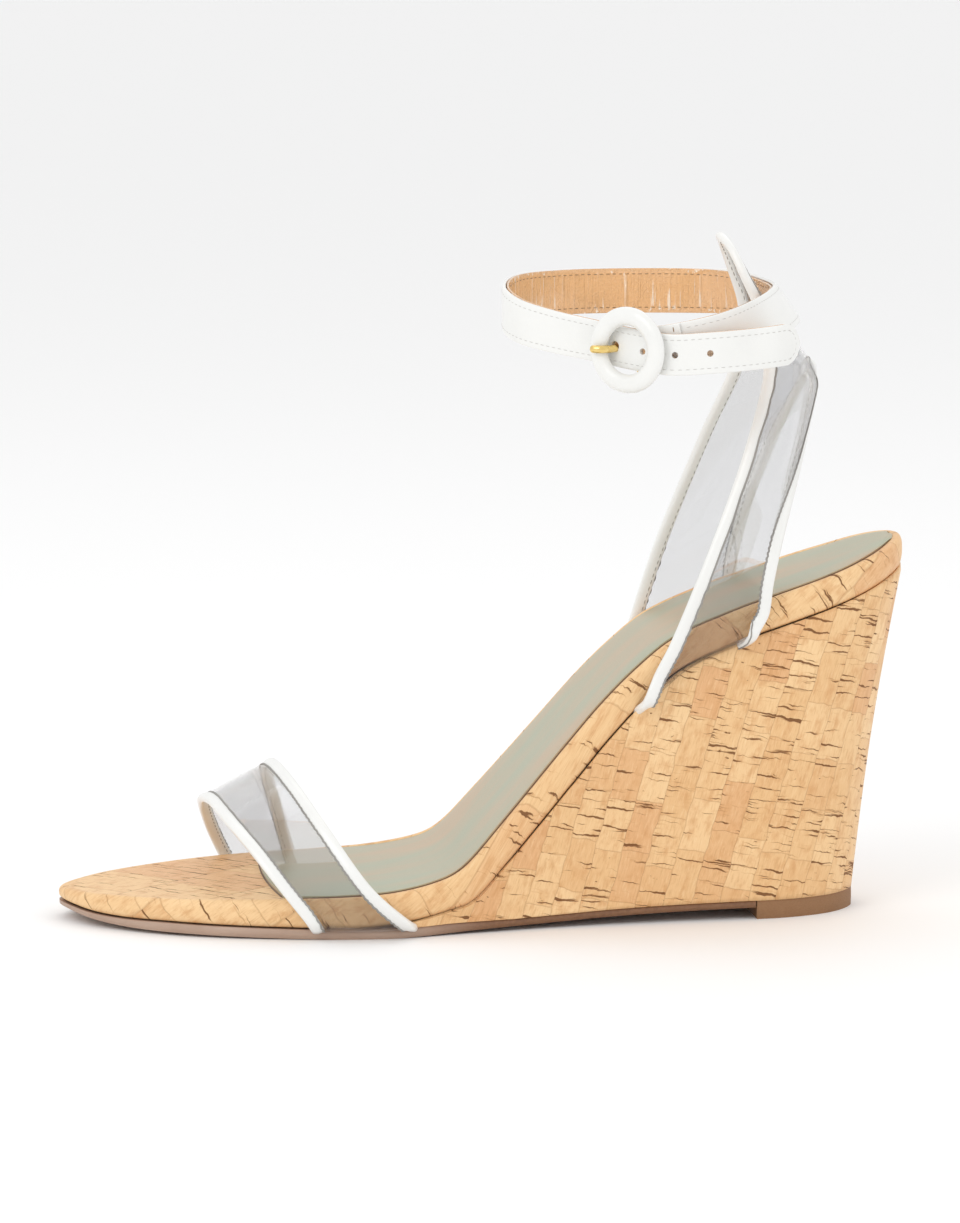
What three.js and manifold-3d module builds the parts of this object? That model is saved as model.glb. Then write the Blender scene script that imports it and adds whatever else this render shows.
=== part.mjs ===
// High wedge sandal for the left foot. Millimetres, +Z up, toe towards -X, heel towards +X.
// The outer (buckle) side faces -Y. The origin is on the ground, under the middle of the sandal's length.
import * as THREE from 'three';
import { mergeVertices } from 'three/addons/utils/BufferGeometryUtils.js';
import Module from 'manifold-3d';

const wasm = await Module();
wasm.setup();

// ---- Driving dimensions ------------------------------------------------------------------------
const soleLength = 225;      // toe tip to the back of the heel seat
const ballHalfWidth = 39;    // half of the footbed's widest place
const forefootHeight = 9.2;  // footbed surface above the ground, under the ball of the foot
const heelRise = 90;         // how much higher the heel seat's back edge is than the forefoot
const footbedDepth = 7;      // footbed and its cork edge, measured square to the surface
const glue = 0.3;            // gap left for the glue line between two layers

const outsoleThick = 2.4;    // leather outsole under the forefoot
const outsoleWaist = 1.8;    // the same outsole where it runs under the wedge
const liftFront = 70.5;      // where the heel top piece starts
const wedgeUndercut = 12.7;  // how far the heel's foot stands forward of the heel seat's back
const wedgeTaper = 0.8;      // width of the heel's foot as a share of the width at the seat
const coverThick = 1.2;      // cork sheet round the wedge
const randWall = 1.9;        // cork strip round the footbed's edge
const randRim = 1.2;         // how far that strip stands above the sock
const randRound = 1.1;       // its rounded upper and lower edge
const sockFront = -59.5;     // front edge of the metallic sock

const shankWidth = 14;
const shankSpan = [-28, 62];
const nailRadius = 1.2;
const nailLength = 26;
const nailPlaces = [[84, -9], [84, 9], [97, 0]];
const pinRadius = 1;
const pinLength = 16;
const pinPlaces = [[79, 0], [91, 0]];

const filmThick = 1;         // clear sheet of the upper
const bindingWidth = 3.6;    // folded leather strip on the edges of the clear sheet
const bindingWall = 0.7;
const foldSlack = 0.5;       // room between the clear sheet and the folded strip

const strapWidth = 12;       // at the back; it narrows towards the buckle
const strapTipWidth = 10.7;
const taperLength = 50;      // of the narrowing part, which ends just before the buckle
const leatherThick = 1;      // white outer leather of the ankle strap
const liningThick = 0.7;
const strapTipRadius = 6.2;
const holeRadius = 0.85;
const holePitch = 8.6;       // from one strap hole to the next
const prongHolePlace = -5.1; // the used hole, from the buckle's bar
const prongHoleRadius = 1.6;

const ringRadius = 8.8;      // middle of the round buckle's band
const ringBand = 4.9;        // width of the leather-covered band
const ringThick = 3.6;
const wireRadius = 0.8;      // metal ring inside the band
const barRadius = 0.7;
const hubWall = 0.4;         // the prong's eye round the bar
const hubLength = 2.4;
const prongRadius = 0.8;

// ---- Shape helpers -----------------------------------------------------------------------------
const V = (x, y, z) => new THREE.Vector3(x, y, z);

// Smooth height curve through a few [position, value] points.
function through(points) {
  const slope = points.map((p, i) => {
    const a = points[Math.max(i - 1, 0)];
    const b = points[Math.min(i + 1, points.length - 1)];
    return (b[1] - a[1]) / (b[0] - a[0]);
  });
  return (x) => {
    let i = 0;
    while (i < points.length - 2 && x > points[i + 1][0]) i += 1;
    const span = points[i + 1][0] - points[i][0];
    const t = THREE.MathUtils.clamp((x - points[i][0]) / span, 0, 1);
    const rise = points[i + 1][1] - points[i][1];
    const ends = (slope[i] * (1 - t) - slope[i + 1] * t) * span;
    return points[i][1] + rise * t * t * (3 - 2 * t) + t * (1 - t) * ends;
  };
}

// One closed body from rings of equally many points. A wrapped loft closes on its first ring.
function loft(rings, wrapped = false) {
  const count = rings[0].length;
  const position = rings.flat().flatMap((p) => [p.x, p.y, p.z]);
  const index = [];
  const last = wrapped ? rings.length : rings.length - 1;
  for (let i = 0; i < last; i += 1) {
    const near = i * count;
    const far = ((i + 1) % rings.length) * count;
    for (let j = 0; j < count; j += 1) {
      const k = (j + 1) % count;
      index.push(near + j, near + k, far + k, near + j, far + k, far + j);
    }
  }
  if (!wrapped) {
    addCap(index, rings[0], 0, true);
    addCap(index, rings[rings.length - 1], (rings.length - 1) * count, false);
  }
  const geometry = new THREE.BufferGeometry();
  geometry.setAttribute('position', new THREE.Float32BufferAttribute(position, 3));
  geometry.setIndex(index);
  return facingOut(geometry);
}

// Triangles over an end ring, whose second half runs back beside its first half.
function addCap(index, ring, first, reversed) {
  const last = ring.length - 1;
  for (let i = 0; i < (last - 1) / 2; i += 1) {
    const [a, b, c, d] = [i, i + 1, last - i - 1, last - i].map((k) => first + k);
    const corners = b === c ? [a, b, d] : [a, b, c, a, c, d];
    index.push(...(reversed ? corners.reverse() : corners));
  }
}

// Turns every face round if the body came out inside out.
function facingOut(geometry) {
  const p = geometry.attributes.position;
  const index = geometry.index.array;
  const corner = (i) => V().fromBufferAttribute(p, index[i]);
  let volume = 0;
  for (let i = 0; i < index.length; i += 3) {
    volume += corner(i).dot(corner(i + 1).cross(corner(i + 2)));
  }
  if (volume < 0) index.reverse();
  geometry.computeVertexNormals();
  return geometry;
}

function toSolid(geometry) {
  const bare = geometry.clone();
  bare.deleteAttribute('normal');
  bare.deleteAttribute('uv');
  const merged = mergeVertices(bare, 1e-4);
  return new wasm.Manifold(new wasm.Mesh({
    numProp: 3,
    vertProperties: merged.attributes.position.array,
    triVerts: new Uint32Array(merged.index.array),
  }));
}

function fromSolid(solid) {
  const mesh = solid.getMesh();
  const geometry = new THREE.BufferGeometry();
  geometry.setAttribute('position', new THREE.BufferAttribute(mesh.vertProperties, 3));
  geometry.setIndex(new THREE.BufferAttribute(mesh.triVerts, 1));
  geometry.computeVertexNormals();
  return geometry;
}

const cut = (geometry, ...tools) => fromSolid(
  tools.reduce((solid, tool) => solid.subtract(toSolid(tool)), toSolid(geometry)));

// Round rod between two points, made slightly larger when it is used as a drill.
function rod(from, to, radius, sides = 16) {
  const axis = to.clone().sub(from);
  const geometry = new THREE.CylinderGeometry(radius, radius, axis.length(), sides);
  const turn = new THREE.Quaternion().setFromUnitVectors(V(0, 1, 0), axis.clone().normalize());
  geometry.applyQuaternion(turn);
  const middle = from.clone().add(to).divideScalar(2);
  return geometry.translate(middle.x, middle.y, middle.z);
}

// Round wire that follows a smooth route.
function wire(points, radius, steps, sides = 10) {
  const route = new THREE.CatmullRomCurve3(points, false, 'centripetal');
  const frames = route.computeFrenetFrames(steps, false);
  const rings = [];
  for (let i = 0; i <= steps; i += 1) {
    const centre = route.getPointAt(i / steps);
    rings.push(Array.from({ length: sides }, (_, j) => {
      const a = (2 * Math.PI * j) / sides;
      return centre.clone()
        .addScaledVector(frames.normals[i], radius * Math.cos(a))
        .addScaledVector(frames.binormals[i], radius * Math.sin(a));
    }));
  }
  return loft(rings);
}

// ---- Lasting shape: heights along the foot and the footbed's outline ---------------------------
const toeX = -soleLength / 2;
const heelX = soleLength / 2;
const shareAlong = (x) => (x - toeX) / soleLength;

const seatShare = through([
  [0, -0.022], [0.06, -0.014], [0.144, -0.006], [0.233, 0.001], [0.322, 0.006], [0.384, 0.019],
  [0.438, 0.05], [0.464, 0.088], [0.504, 0.197], [0.544, 0.312], [0.584, 0.428], [0.624, 0.541],
  [0.664, 0.639], [0.709, 0.727], [0.78, 0.804], [0.838, 0.853], [0.918, 0.92], [0.98, 0.981], [1, 1],
]);
const groundGap = through([
  [0, 3.8], [0.035, 2.1], [0.08, 1.1], [0.15, 0.75], [0.24, 0.3], [0.31, 0], [0.375, 0],
  [0.465, 0.8], [0.567, 1.6], [0.65, 2.4], [0.767, 3], [1, 3.1],
]);
const outsoleShare = through([[0, 0.4], [0.05, 0.7], [0.12, 1], [1, 1]]);
const waistShare = through([[0.44, 0], [0.52, 1]]);

const seatTop = (x) => forefootHeight + heelRise * seatShare(shareAlong(x));
const soleUnder = (x) => Math.max(groundGap(shareAlong(x)), 0);
function soleUpper(x) {
  const share = shareAlong(x);
  const thick = THREE.MathUtils.lerp(outsoleThick, outsoleWaist, waistShare(share));
  return soleUnder(x) + thick * outsoleShare(share);
}
// Depth of the footbed straight down, which grows where the shank is steep.
function bedUnder(x) {
  const slope = (seatTop(x + 1) - seatTop(x - 1)) / 2;
  return Math.max(soleUpper(x) + glue, seatTop(x) - footbedDepth * Math.hypot(1, slope));
}

// Footbed outline as shares of the length and of the half width, outer side first.
const outlineShares = [
  [0, 0.13], [0.022, -0.22], [0.07, -0.5], [0.15, -0.78], [0.26, -0.95], [0.375, -1], [0.48, -0.9],
  [0.6, -0.79], [0.72, -0.73], [0.82, -0.7], [0.9, -0.655], [0.96, -0.48], [0.992, -0.22], [1, 0],
  [0.992, 0.22], [0.96, 0.47], [0.9, 0.64], [0.82, 0.67], [0.72, 0.655], [0.6, 0.66], [0.5, 0.76],
  [0.4, 0.91], [0.3, 1], [0.2, 0.93], [0.1, 0.7], [0.035, 0.44],
];
const outlineCurve = new THREE.CatmullRomCurve3(
  outlineShares.map(([f, g]) => V(toeX + f * soleLength, g * ballHalfWidth, 0)), true, 'centripetal');
const outline = outlineCurve.getSpacedPoints(110).slice(0, -1);
const inward = outline.map((p, i) => {
  const along = outline[(i + 1) % outline.length].clone().sub(outline.at(i - 1));
  return V(-along.y, along.x, 0).normalize();
});
const inset = (distance) => outline.map((p, i) => p.clone().addScaledVector(inward[i], distance));

// Lowest and highest Y of an outline at one place along the foot.
function spanAt(loop, x) {
  const hits = [];
  loop.forEach((p, i) => {
    const q = loop[(i + 1) % loop.length];
    if ((p.x - x) * (q.x - x) <= 0 && p.x !== q.x) hits.push(p.y + ((q.y - p.y) * (x - p.x)) / (q.x - p.x));
  });
  return [Math.min(...hits), Math.max(...hits)];
}

// Stations between two places, closer together at both ends where an outline turns quickly.
function stations(from, to, count) {
  return Array.from({ length: count + 1 }, (_, i) => {
    const t = i / count;
    return from + (to - from) * (0.5 - Math.cos(Math.PI * t) / 2) * 0.6 + (to - from) * t * 0.4;
  });
}

// A layer of the footbed or sole: an outline between two heights.
function layer(loop, from, to, upper, lower, count = 44) {
  return loft(stations(from, to, count).map((x) => {
    const [low, high] = spanAt(loop, x);
    return [V(x, low, lower(x)), V(x, high, lower(x)), V(x, high, upper(x)), V(x, low, upper(x))];
  }));
}

const endClearance = 0.25;
const reach = (loop) => [
  Math.min(...loop.map((p) => p.x)) + endClearance,
  Math.max(...loop.map((p) => p.x)) - endClearance,
];

// Height inside the footbed: 0 at the sock's surface, 1 at the underside.
const bedLevel = (share) => (x) => THREE.MathUtils.lerp(seatTop(x), bedUnder(x), share);

// ---- Footbed -----------------------------------------------------------------------------------
const bedLoop = inset(randWall + glue);
const [bedToe, bedHeel] = reach(bedLoop);

const sock = layer(bedLoop, sockFront, bedHeel, bedLevel(0), bedLevel(0.16), 36);
const toeCover = layer(bedLoop, bedToe, sockFront - glue, bedLevel(0), bedLevel(0.16), 20);
const pad = layer(bedLoop, bedToe, bedHeel, bedLevel(0.21), bedLevel(0.45));
const boardBlank = layer(bedLoop, bedToe, bedHeel, bedLevel(0.5), bedLevel(0.78));
const shankLoop = [
  V(shankSpan[0] - 1, -shankWidth / 2, 0), V(shankSpan[1] + 1, -shankWidth / 2, 0),
  V(shankSpan[1] + 1, shankWidth / 2, 0), V(shankSpan[0] - 1, shankWidth / 2, 0),
];
const shank = layer(shankLoop, shankSpan[0], shankSpan[1], bedLevel(0.83), bedLevel(0.97), 22);

const rand = loft(outline.map((p, i) => {
  const corner = (depth, height) => {
    const at = p.clone().addScaledVector(inward[i], depth);
    return V(at.x, at.y, height(at.x));
  };
  const upper = (drop) => (x) => seatTop(x) + randRim - drop;
  const lower = (rise) => (x) => bedUnder(x) + rise;
  return [
    corner(randRound * 0.5, lower(0)), corner(0, lower(randRound * 0.6)),
    corner(0, upper(randRound)), corner(randRound * 0.6, upper(0)),
    corner(randWall, upper(0.3)), corner(randWall, lower(0)),
  ];
}), true);

// ---- Wedge, outsole and heel top piece ---------------------------------------------------------
// The wedge starts where the footbed's underside leaves the outsole.
let wedgeTip = toeX;
while (bedUnder(wedgeTip) - soleUpper(wedgeTip) < 3 * glue + 0.6) wedgeTip += 0.5;

const wedgeShare = (x) => THREE.MathUtils.clamp((x - wedgeTip) / (heelX - wedgeTip), 0, 1);
// A point of the wedge's upper edge and the point of its foot under it.
const footX = (x) => x - wedgeUndercut * wedgeShare(x);
const footY = (x, y) => y * THREE.MathUtils.lerp(1, wedgeTaper, wedgeShare(x));
const wedgeUpper = (x) => bedUnder(x) - glue;
const wedgeLower = (x) => soleUpper(footX(x)) + glue;

function wedgeWall(p, n, depth) {
  const at = p.clone().addScaledVector(n, depth);
  return [V(at.x, at.y, wedgeUpper(at.x)), V(footX(at.x), footY(at.x, at.y), wedgeLower(at.x))];
}
const coverRings = outline
  .map((p, i) => ({ p, n: inward[i] }))
  .filter(({ p }) => p.x > wedgeTip + coverThick)
  .map(({ p, n }) => {
    const [outTop, outFoot] = wedgeWall(p, n, 0);
    const [inTop, inFoot] = wedgeWall(p, n, coverThick);
    return [outTop, outFoot, inFoot, inTop];
  });
const wedgeCover = loft(coverRings);

const coreLoop = inset(coverThick + 2 * glue);
const coreBlank = loft(stations(wedgeTip + coverThick, reach(coreLoop)[1], 40).map((x) => {
  const [low, high] = spanAt(coreLoop, x);
  return [
    V(footX(x), footY(x, low), wedgeLower(x)), V(footX(x), footY(x, high), wedgeLower(x)),
    V(x, high, wedgeUpper(x)), V(x, low, wedgeUpper(x)),
  ];
}));

// Outline of the heel's foot, which the top piece and the outsole follow.
const footLoop = outline.map((p) => V(footX(p.x), footY(p.x, p.y), 0));
const outsole = layer(footLoop, reach(footLoop)[0], liftFront - glue, soleUpper, soleUnder);
const liftBlank = layer(footLoop, liftFront, reach(footLoop)[1], soleUpper, () => 0, 22);

// Nails hold the insole board to the wedge, and pins hold the top piece under it.
const nailTop = (x) => bedLevel(0.5)(x);
const nailSunk = 0.1;         // heads lie just under the board's face
const pinSunk = 0.6;
const nails = nailPlaces.map(([x, y]) => ({
  top: V(x, y, nailTop(x) - nailSunk),
  foot: V(x, y, nailTop(x) - nailLength),
}));
const pins = pinPlaces.map(([x, y]) => ({ top: V(x, y, pinLength), foot: V(x, y, pinSunk) }));
const drill = ({ top, foot }, radius, past) => rod(
  foot.clone().setZ(foot.z - past[0]), top.clone().setZ(top.z + past[1]), radius + glue);
const nailDrills = nails.map((nail) => drill(nail, nailRadius, [glue, 10]));
const pinDrills = pins.map((pin) => drill(pin, pinRadius, [10, glue]));
const board = cut(boardBlank, ...nailDrills);
const core = cut(coreBlank, ...nailDrills, ...pinDrills);
const lift = cut(liftBlank, ...pinDrills);

// ---- Clear upper -------------------------------------------------------------------------------
// Each clear panel is stretched between two edge routes, and each edge has a folded leather strip.
const lateralAt = (x) => spanAt(outline, x)[0];
const medialAt = (x) => spanAt(outline, x)[1];
const bulge = 0.85;          // what the outline swells by between the places where it is measured
const proud = bindingWall + filmThick / 2 + foldSlack + bulge;
const onEdge = (x, side, z) => V(x, side < 0 ? lateralAt(x) - proud : medialAt(x) + proud, z);
const vampFoot = (x) => soleUpper(x) + 1.5 * glue;
const smooth = (points) => new THREE.CatmullRomCurve3(points, false, 'centripetal');

const vampFront = smooth([
  onEdge(-50, -1, vampFoot(-50)), onEdge(-57.5, -1, 13), V(-64.5, -33, 22), V(-70.5, -19, 28.4),
  V(-73.5, 0, 30.6), V(-74.5, 16, 28), V(-72, 28, 20), onEdge(-67.5, 1, 10), onEdge(-64, 1, vampFoot(-64)),
]);
const vampRear = smooth([
  onEdge(-22.5, -1, vampFoot(-22.5)), onEdge(-33.5, -1, 13.7), V(-44, -32, 28), V(-50.5, -16, 37.2),
  V(-54, 2, 40.5), V(-54.5, 18, 37.5), V(-51.5, 31, 27), onEdge(-47, 1, 13), onEdge(-44, 1, vampFoot(-44)),
]);

// The quarter has a leg on each side and a tab behind the ankle. Its front edge runs up one leg, round
// the tab and down the other; its rear edge is the arch between the legs.
const quarterFoot = (x) => bedUnder(x) + glue;
const quarterFront = smooth([
  onEdge(38, -1, quarterFoot(38)), V(45.5, -31.6, 75), V(54, -30, 94.6), V(66, -24, 124),
  V(72.5, -17, 147), V(71.5, -13.6, 159), V(67.5, -11.4, 170), V(64.5, -7, 177.6), V(62.7, 0, 180.3),
  V(64.5, 7, 177.6), V(67.5, 11.4, 170), V(70.5, 13.6, 159), V(69.5, 16.5, 145),
  V(62, 23.5, 124), V(50.5, 28.6, 94.6), V(44, 29, 75), onEdge(38, 1, quarterFoot(38)),
]);
const archTop = V(88.6, 0, 144);
const quarterRear = smooth([
  onEdge(69.3, -1, quarterFoot(69.3)), V(73.3, -29, 90), V(76.5, -26, 103), V(82.8, -17, 126), archTop,
  V(82.5, 17, 126), V(76, 25.8, 103), V(73, 28, 90), onEdge(69.3, 1, quarterFoot(69.3)),
]);
const tabTop = quarterFront.getPoint(0.5);
const legShare = 0.25;       // share of the front edge that belongs to each leg
const tabMiddle = (s) => archTop.clone().lerp(tabTop, s);
const ankleAxis = (p) => V(50, 0, p.z);
const footAxis = (p) => V(p.x, 0, 5);

// Share of the tab's height that goes with a place on the front edge.
const tabShare = (t) => (Math.min(t, 1 - t) - legShare) / (0.5 - legShare);
// The quarter's surface crosses from its front edge to its rear edge, or to the tab's middle line. Near
// the heel cord it is rounded, so each crossing is a curve with one middle control point.
const bendStart = 0.1;       // share of the front edge where that rounding begins
const bendFull = 0.8;        // squareness of the rounded back
const tabFlat = 0.8;         // how much flatter the tab is than the back below it
function rearOf(t) {
  if (tabShare(t) > 0) return tabMiddle(tabShare(t));
  return quarterRear.getPoint(t < 0.5 ? t * 2 : t * 2 - 1);
}
function crossingControl(t) {
  const front = quarterFront.getPoint(t);
  const rear = rearOf(t);
  const round = rear.clone().add(V(0, front.y * bendFull, 0));
  const bend = THREE.MathUtils.smoothstep(Math.min(t, 1 - t), bendStart, legShare)
    * (1 - tabFlat * THREE.MathUtils.smoothstep(tabShare(t), 0, 0.6));
  return front.lerp(rear, 0.5).lerp(round, bend);
}
const acrossFront = (t) => (Math.abs(t - 0.5) < 0.02 ? tabMiddle(0.7) : crossingControl(t));
function acrossRear(u) {
  const control = crossingControl(u < 0.5 ? u / 2 : (1 + u) / 2);
  return control.lerp(tabMiddle(0.5), THREE.MathUtils.smoothstep(0.5 - Math.abs(u - 0.5), 0.46, 0.5));
}

// Directions at one place on an edge: into the panel, and outwards, square to the panel.
function edgeFrame(edge, across, core, t) {
  const point = edge.getPoint(t);
  const along = edge.getTangent(t);
  const over = across(t).clone().sub(point);
  const into = over.addScaledVector(along, -over.dot(along)).normalize();
  const square = along.clone().cross(into).normalize();
  if (square.dot(point.clone().sub(core(point))) < 0) square.negate();
  return (a, b) => point.clone().addScaledVector(into, a).addScaledVector(square, b);
}
const frontFrame = (t) => edgeFrame(quarterFront, acrossFront, ankleAxis, t);
const rearFrame = (t) => edgeFrame(quarterRear, acrossRear, ankleAxis, t);
const vampFrontFrame = (t) => edgeFrame(vampFront, (u) => vampRear.getPoint(u), footAxis, t);
const vampRearFrame = (t) => edgeFrame(vampRear, (u) => vampFront.getPoint(u), footAxis, t);

const even = (from, to, steps) => Array.from(
  { length: steps + 1 }, (_, i) => from + ((to - from) * i) / steps);
const half = filmThick / 2;   // the edge routes run in the middle of the clear sheet
const behindFold = bindingWall + glue;

// Clear sheet between two edges. Each crossing may bend through a control point.
function panelBetween(nearFrames, farFrames, controls, halfThick = half) {
  const columns = controls ? even(0, 1, 5) : [0, 1];
  return loft(nearFrames.map((near, i) => {
    const side = (n) => columns.map((c) => {
      const from = near(behindFold, n);
      const to = farFrames[i](behindFold, n);
      const middle = from.clone().lerp(to, 0.5);
      if (controls) {
        const flat = near(0, 0).lerp(farFrames[i](0, 0), 0.5);
        middle.add(controls[i]).sub(flat);
      }
      from.multiplyScalar((1 - c) ** 2).addScaledVector(middle, 2 * c * (1 - c));
      return from.addScaledVector(to, c * c);
    });
    return [...side(halfThick), ...side(-halfThick).reverse()];
  }));
}
const vampSteps = even(0, 1, 32);
const vampPanel = panelBetween(vampSteps.map(vampFrontFrame), vampSteps.map(vampRearFrame));

// Each half of the quarter runs from its foot to the tab's top and ends on the middle line at the back.
const tabBack = V(tabTop.z - archTop.z, 0, archTop.x - tabTop.x).normalize();
const tabUp = tabTop.clone().sub(archTop).normalize();
function quarterHalf(mirrored, halfThick) {
  const place = (t) => (mirrored ? 1 - t : t);
  const steps = [...even(0, legShare, 16), ...even(legShare, 0.5, 16).slice(1, -1)];
  const fars = steps.map((t) => {
    if (t < legShare) return rearFrame(mirrored ? 1 - 2 * t : 2 * t);
    const middle = tabMiddle(tabShare(t) * 0.95);
    return (a, b) => middle.clone().addScaledVector(tabUp, a).addScaledVector(tabBack, b);
  });
  const controls = steps.map((t) => crossingControl(place(t)));
  return panelBetween(steps.map((t) => frontFrame(place(t))), fars, controls, halfThick);
}
const quarterSheet = (halfThick) => fromSolid(
  toSolid(quarterHalf(false, halfThick)).add(toSolid(quarterHalf(true, halfThick))));
const quarterPanel = quarterSheet(half);

function binding(frames) {
  const slot = half + foldSlack;
  const skin = slot + bindingWall;
  const section = [
    [bindingWidth, -skin], [0, -skin], [0, skin], [bindingWidth, skin],
    [bindingWidth, slot], [bindingWall, slot], [bindingWall, -slot], [bindingWidth, -slot],
  ];
  return loft(frames.map((at) => section.map(([a, b]) => at(a, b))));
}

// The arch's strip is pared away inside where the sheet bends under it.
const quarterRearBinding = cut(binding(even(0, 1, 32).map(rearFrame)), quarterSheet(half + 0.8 * glue));

// ---- Ankle strap -------------------------------------------------------------------------------
// Each route is the strap's inner face. The short strap runs from the buckle's bar to the middle of
// the back. The long one leaves there, goes round the inner side and the front, over the bar, and ends
// in a free tip outside the short strap.
const barPlace = V(37.9, -32.8, 153.3);
const shortRoute = smooth([
  barPlace, V(44.3, -37.9, 154.4), V(51.5, -39.8, 155.9), V(59.5, -37.5, 157.5), V(67.5, -30.5, 159),
  V(74.8, -18.5, 160.3), V(79.2, -5, 161.1), V(79.6, 0, 161.2),
]);
const longRoute = smooth([
  V(79.6, 0, 161.2), V(79.4, 4, 161.3), V(76, 15.5, 161.8), V(65, 25, 162.3), V(45, 29.5, 162.4),
  V(24, 26, 162.4), V(11.5, 14.5, 162.2), V(7.3, 0, 160.4), V(10, -11, 158.3), V(17, -18.7, 156.5),
  V(27.7, -26.9, 154.6), V(35.7, -35.1, 153.3), V(44.3, -41.7, 152.4), V(53, -43.8, 152.9),
  V(62, -43.4, 153.5), V(70.3, -40, 154), V(77.6, -34.2, 154.4),
]);
const backSeam = 0.9;        // half of the gap where the two straps meet on the quarter
const backLean = 0.7;        // how far the strap leans with the quarter at the back

function strapFrame(route, distance, leaning) {
  const length = route.getLength();
  const u = THREE.MathUtils.clamp(distance / length, 0, 1);
  const point = route.getPointAt(u);
  const lean = leaning ? backLean * THREE.MathUtils.smoothstep(point.x, 52, 78) : 0;
  const up = V(-lean, 0, 1);
  const along = route.getTangentAt(u);
  up.addScaledVector(along, -up.dot(along)).normalize();
  const out = along.clone().cross(up).normalize();
  if (out.dot(point.clone().sub(ankleAxis(point))) < 0) out.negate();
  return (offset, height) => point.clone().addScaledVector(out, offset).addScaledVector(up, height);
}

// Strip of leather between two distances along a route.
function strip(frames, lift, thick, halfWidths) {
  return loft(frames.map((at, i) => {
    const w = halfWidths[i];
    return [at(lift, -w), at(lift + thick, -w), at(lift + thick, w), at(lift, w)];
  }));
}

// Distance along a route to the place nearest a point.
function distanceTo(route, point) {
  const shares = even(0, 1, 600);
  const gap = (u) => route.getPointAt(u).distanceTo(point);
  return shares.reduce((best, u) => (gap(u) < gap(best) ? u : best), 0) * route.getLength();
}

const leatherFace = liningThick + 1.3 * glue;
const plies = leatherFace + leatherThick;
const barOffset = barRadius + 0.8;                    // middle of the bar, off the short strap's route
const ringOffset = plies * 2 + 2.5 * glue + ringThick / 2 + 0.4;
const flexPlace = ringRadius + ringBand / 2 + 3.3;    // where the free tip starts to bend, from the bar
const overBar = distanceTo(longRoute, barPlace.clone().add(V(-2.2, -2.3, 0)));
const longFrame = (d) => strapFrame(longRoute, overBar + d, overBar + d < longRoute.getLength() / 2);
const tipEnd = longRoute.getLength() - overBar;

const taperEnd = -ringRadius - 1.2;
const strapHalf = (d) => THREE.MathUtils.lerp(
  strapWidth, strapTipWidth, THREE.MathUtils.smoothstep(d, taperEnd - taperLength, taperEnd)) / 2;
const tipHalf = (d) => {
  const left = Math.min(tipEnd - d, strapTipRadius);
  const round = Math.sqrt(1 - ((strapTipRadius - left) / strapTipRadius) ** 2);
  return strapHalf(d) * Math.max(round, 0.12);
};

const holes = [0, 1, 2, 3].map((i) => ({
  place: prongHolePlace + i * holePitch,
  radius: i ? holeRadius : prongHoleRadius,
}));
function punched(places, lift, thick) {
  const blank = strip(places.map(longFrame), lift, thick, places.map(tipHalf));
  const low = places[0];
  const high = places[places.length - 1];
  const tools = holes.filter(({ place }) => place > low && place < high).map(({ place, radius }) => {
    const at = longFrame(place);
    return rod(at(-1.5, 0), at(plies + 1.5, 0), radius, 14);
  });
  return cut(blank, ...tools);
}
const longPlaces = even(backSeam - overBar, flexPlace - glue, 70);
const tipPlaces = even(flexPlace, tipEnd, 20);
const strapLeather = punched(longPlaces, leatherFace, leatherThick);
const strapLining = punched(longPlaces, 0, liningThick);
const tipLeather = punched(tipPlaces, leatherFace, leatherThick);
const tipLining = punched(tipPlaces, 0, liningThick);

const shortPlaces = even(barRadius + hubWall + 2 * glue, shortRoute.getLength() - backSeam, 30);
const shortFrames = shortPlaces.map((d) => strapFrame(shortRoute, d, true));
const shortHalf = shortPlaces.map((d) => strapHalf(taperEnd - d));
const shortLeather = strip(shortFrames, leatherFace, leatherThick, shortHalf);
const shortLining = strip(shortFrames, 0, liningThick, shortHalf);

// ---- Buckle ------------------------------------------------------------------------------------
// The buckle stands square to the strap at the bar: u along the strap, w across it, n outwards.
const strapUp = V(0, 0, 1);
const overBarFrame = longFrame(0);
const buckleOut = overBarFrame(1, 0).sub(overBarFrame(0, 0)).setZ(0).normalize();
const buckleBack = strapUp.clone().cross(buckleOut).normalize();
const inBuckle = (u, w, n) => barPlace.clone()
  .addScaledVector(buckleBack, u).addScaledVector(strapUp, w).addScaledVector(buckleOut, n);

function ringBody(radius, halfBand, halfThick, count, sides) {
  return loft(Array.from({ length: count }, (_, i) => {
    const a = (2 * Math.PI * i) / count;
    return Array.from({ length: sides }, (__, j) => {
      const b = (2 * Math.PI * j) / sides;
      const r = radius + halfBand * Math.cos(b);
      return inBuckle(r * Math.cos(a), r * Math.sin(a), ringOffset + halfThick * Math.sin(b));
    });
  }), true);
}

const barRoute = [
  [-ringRadius, ringOffset], [-ringRadius + 0.6, ringOffset - 2.6], [-ringRadius + 2, barOffset],
  [0, barOffset], [ringRadius - 2, barOffset], [ringRadius - 0.6, ringOffset - 2.6], [ringRadius, ringOffset],
].map(([w, n]) => inBuckle(0, w, n));
const frameWith = (extra) => toSolid(ringBody(ringRadius, wireRadius + extra, wireRadius + extra, 30, 8))
  .add(toSolid(wire(barRoute, wireRadius + extra, 24, 8)));
const buckleFrame = fromSolid(frameWith(0));
const buckleCover = fromSolid(
  toSolid(ringBody(ringRadius, ringBand / 2, ringThick / 2, 36, 12)).subtract(frameWith(glue)));

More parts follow.
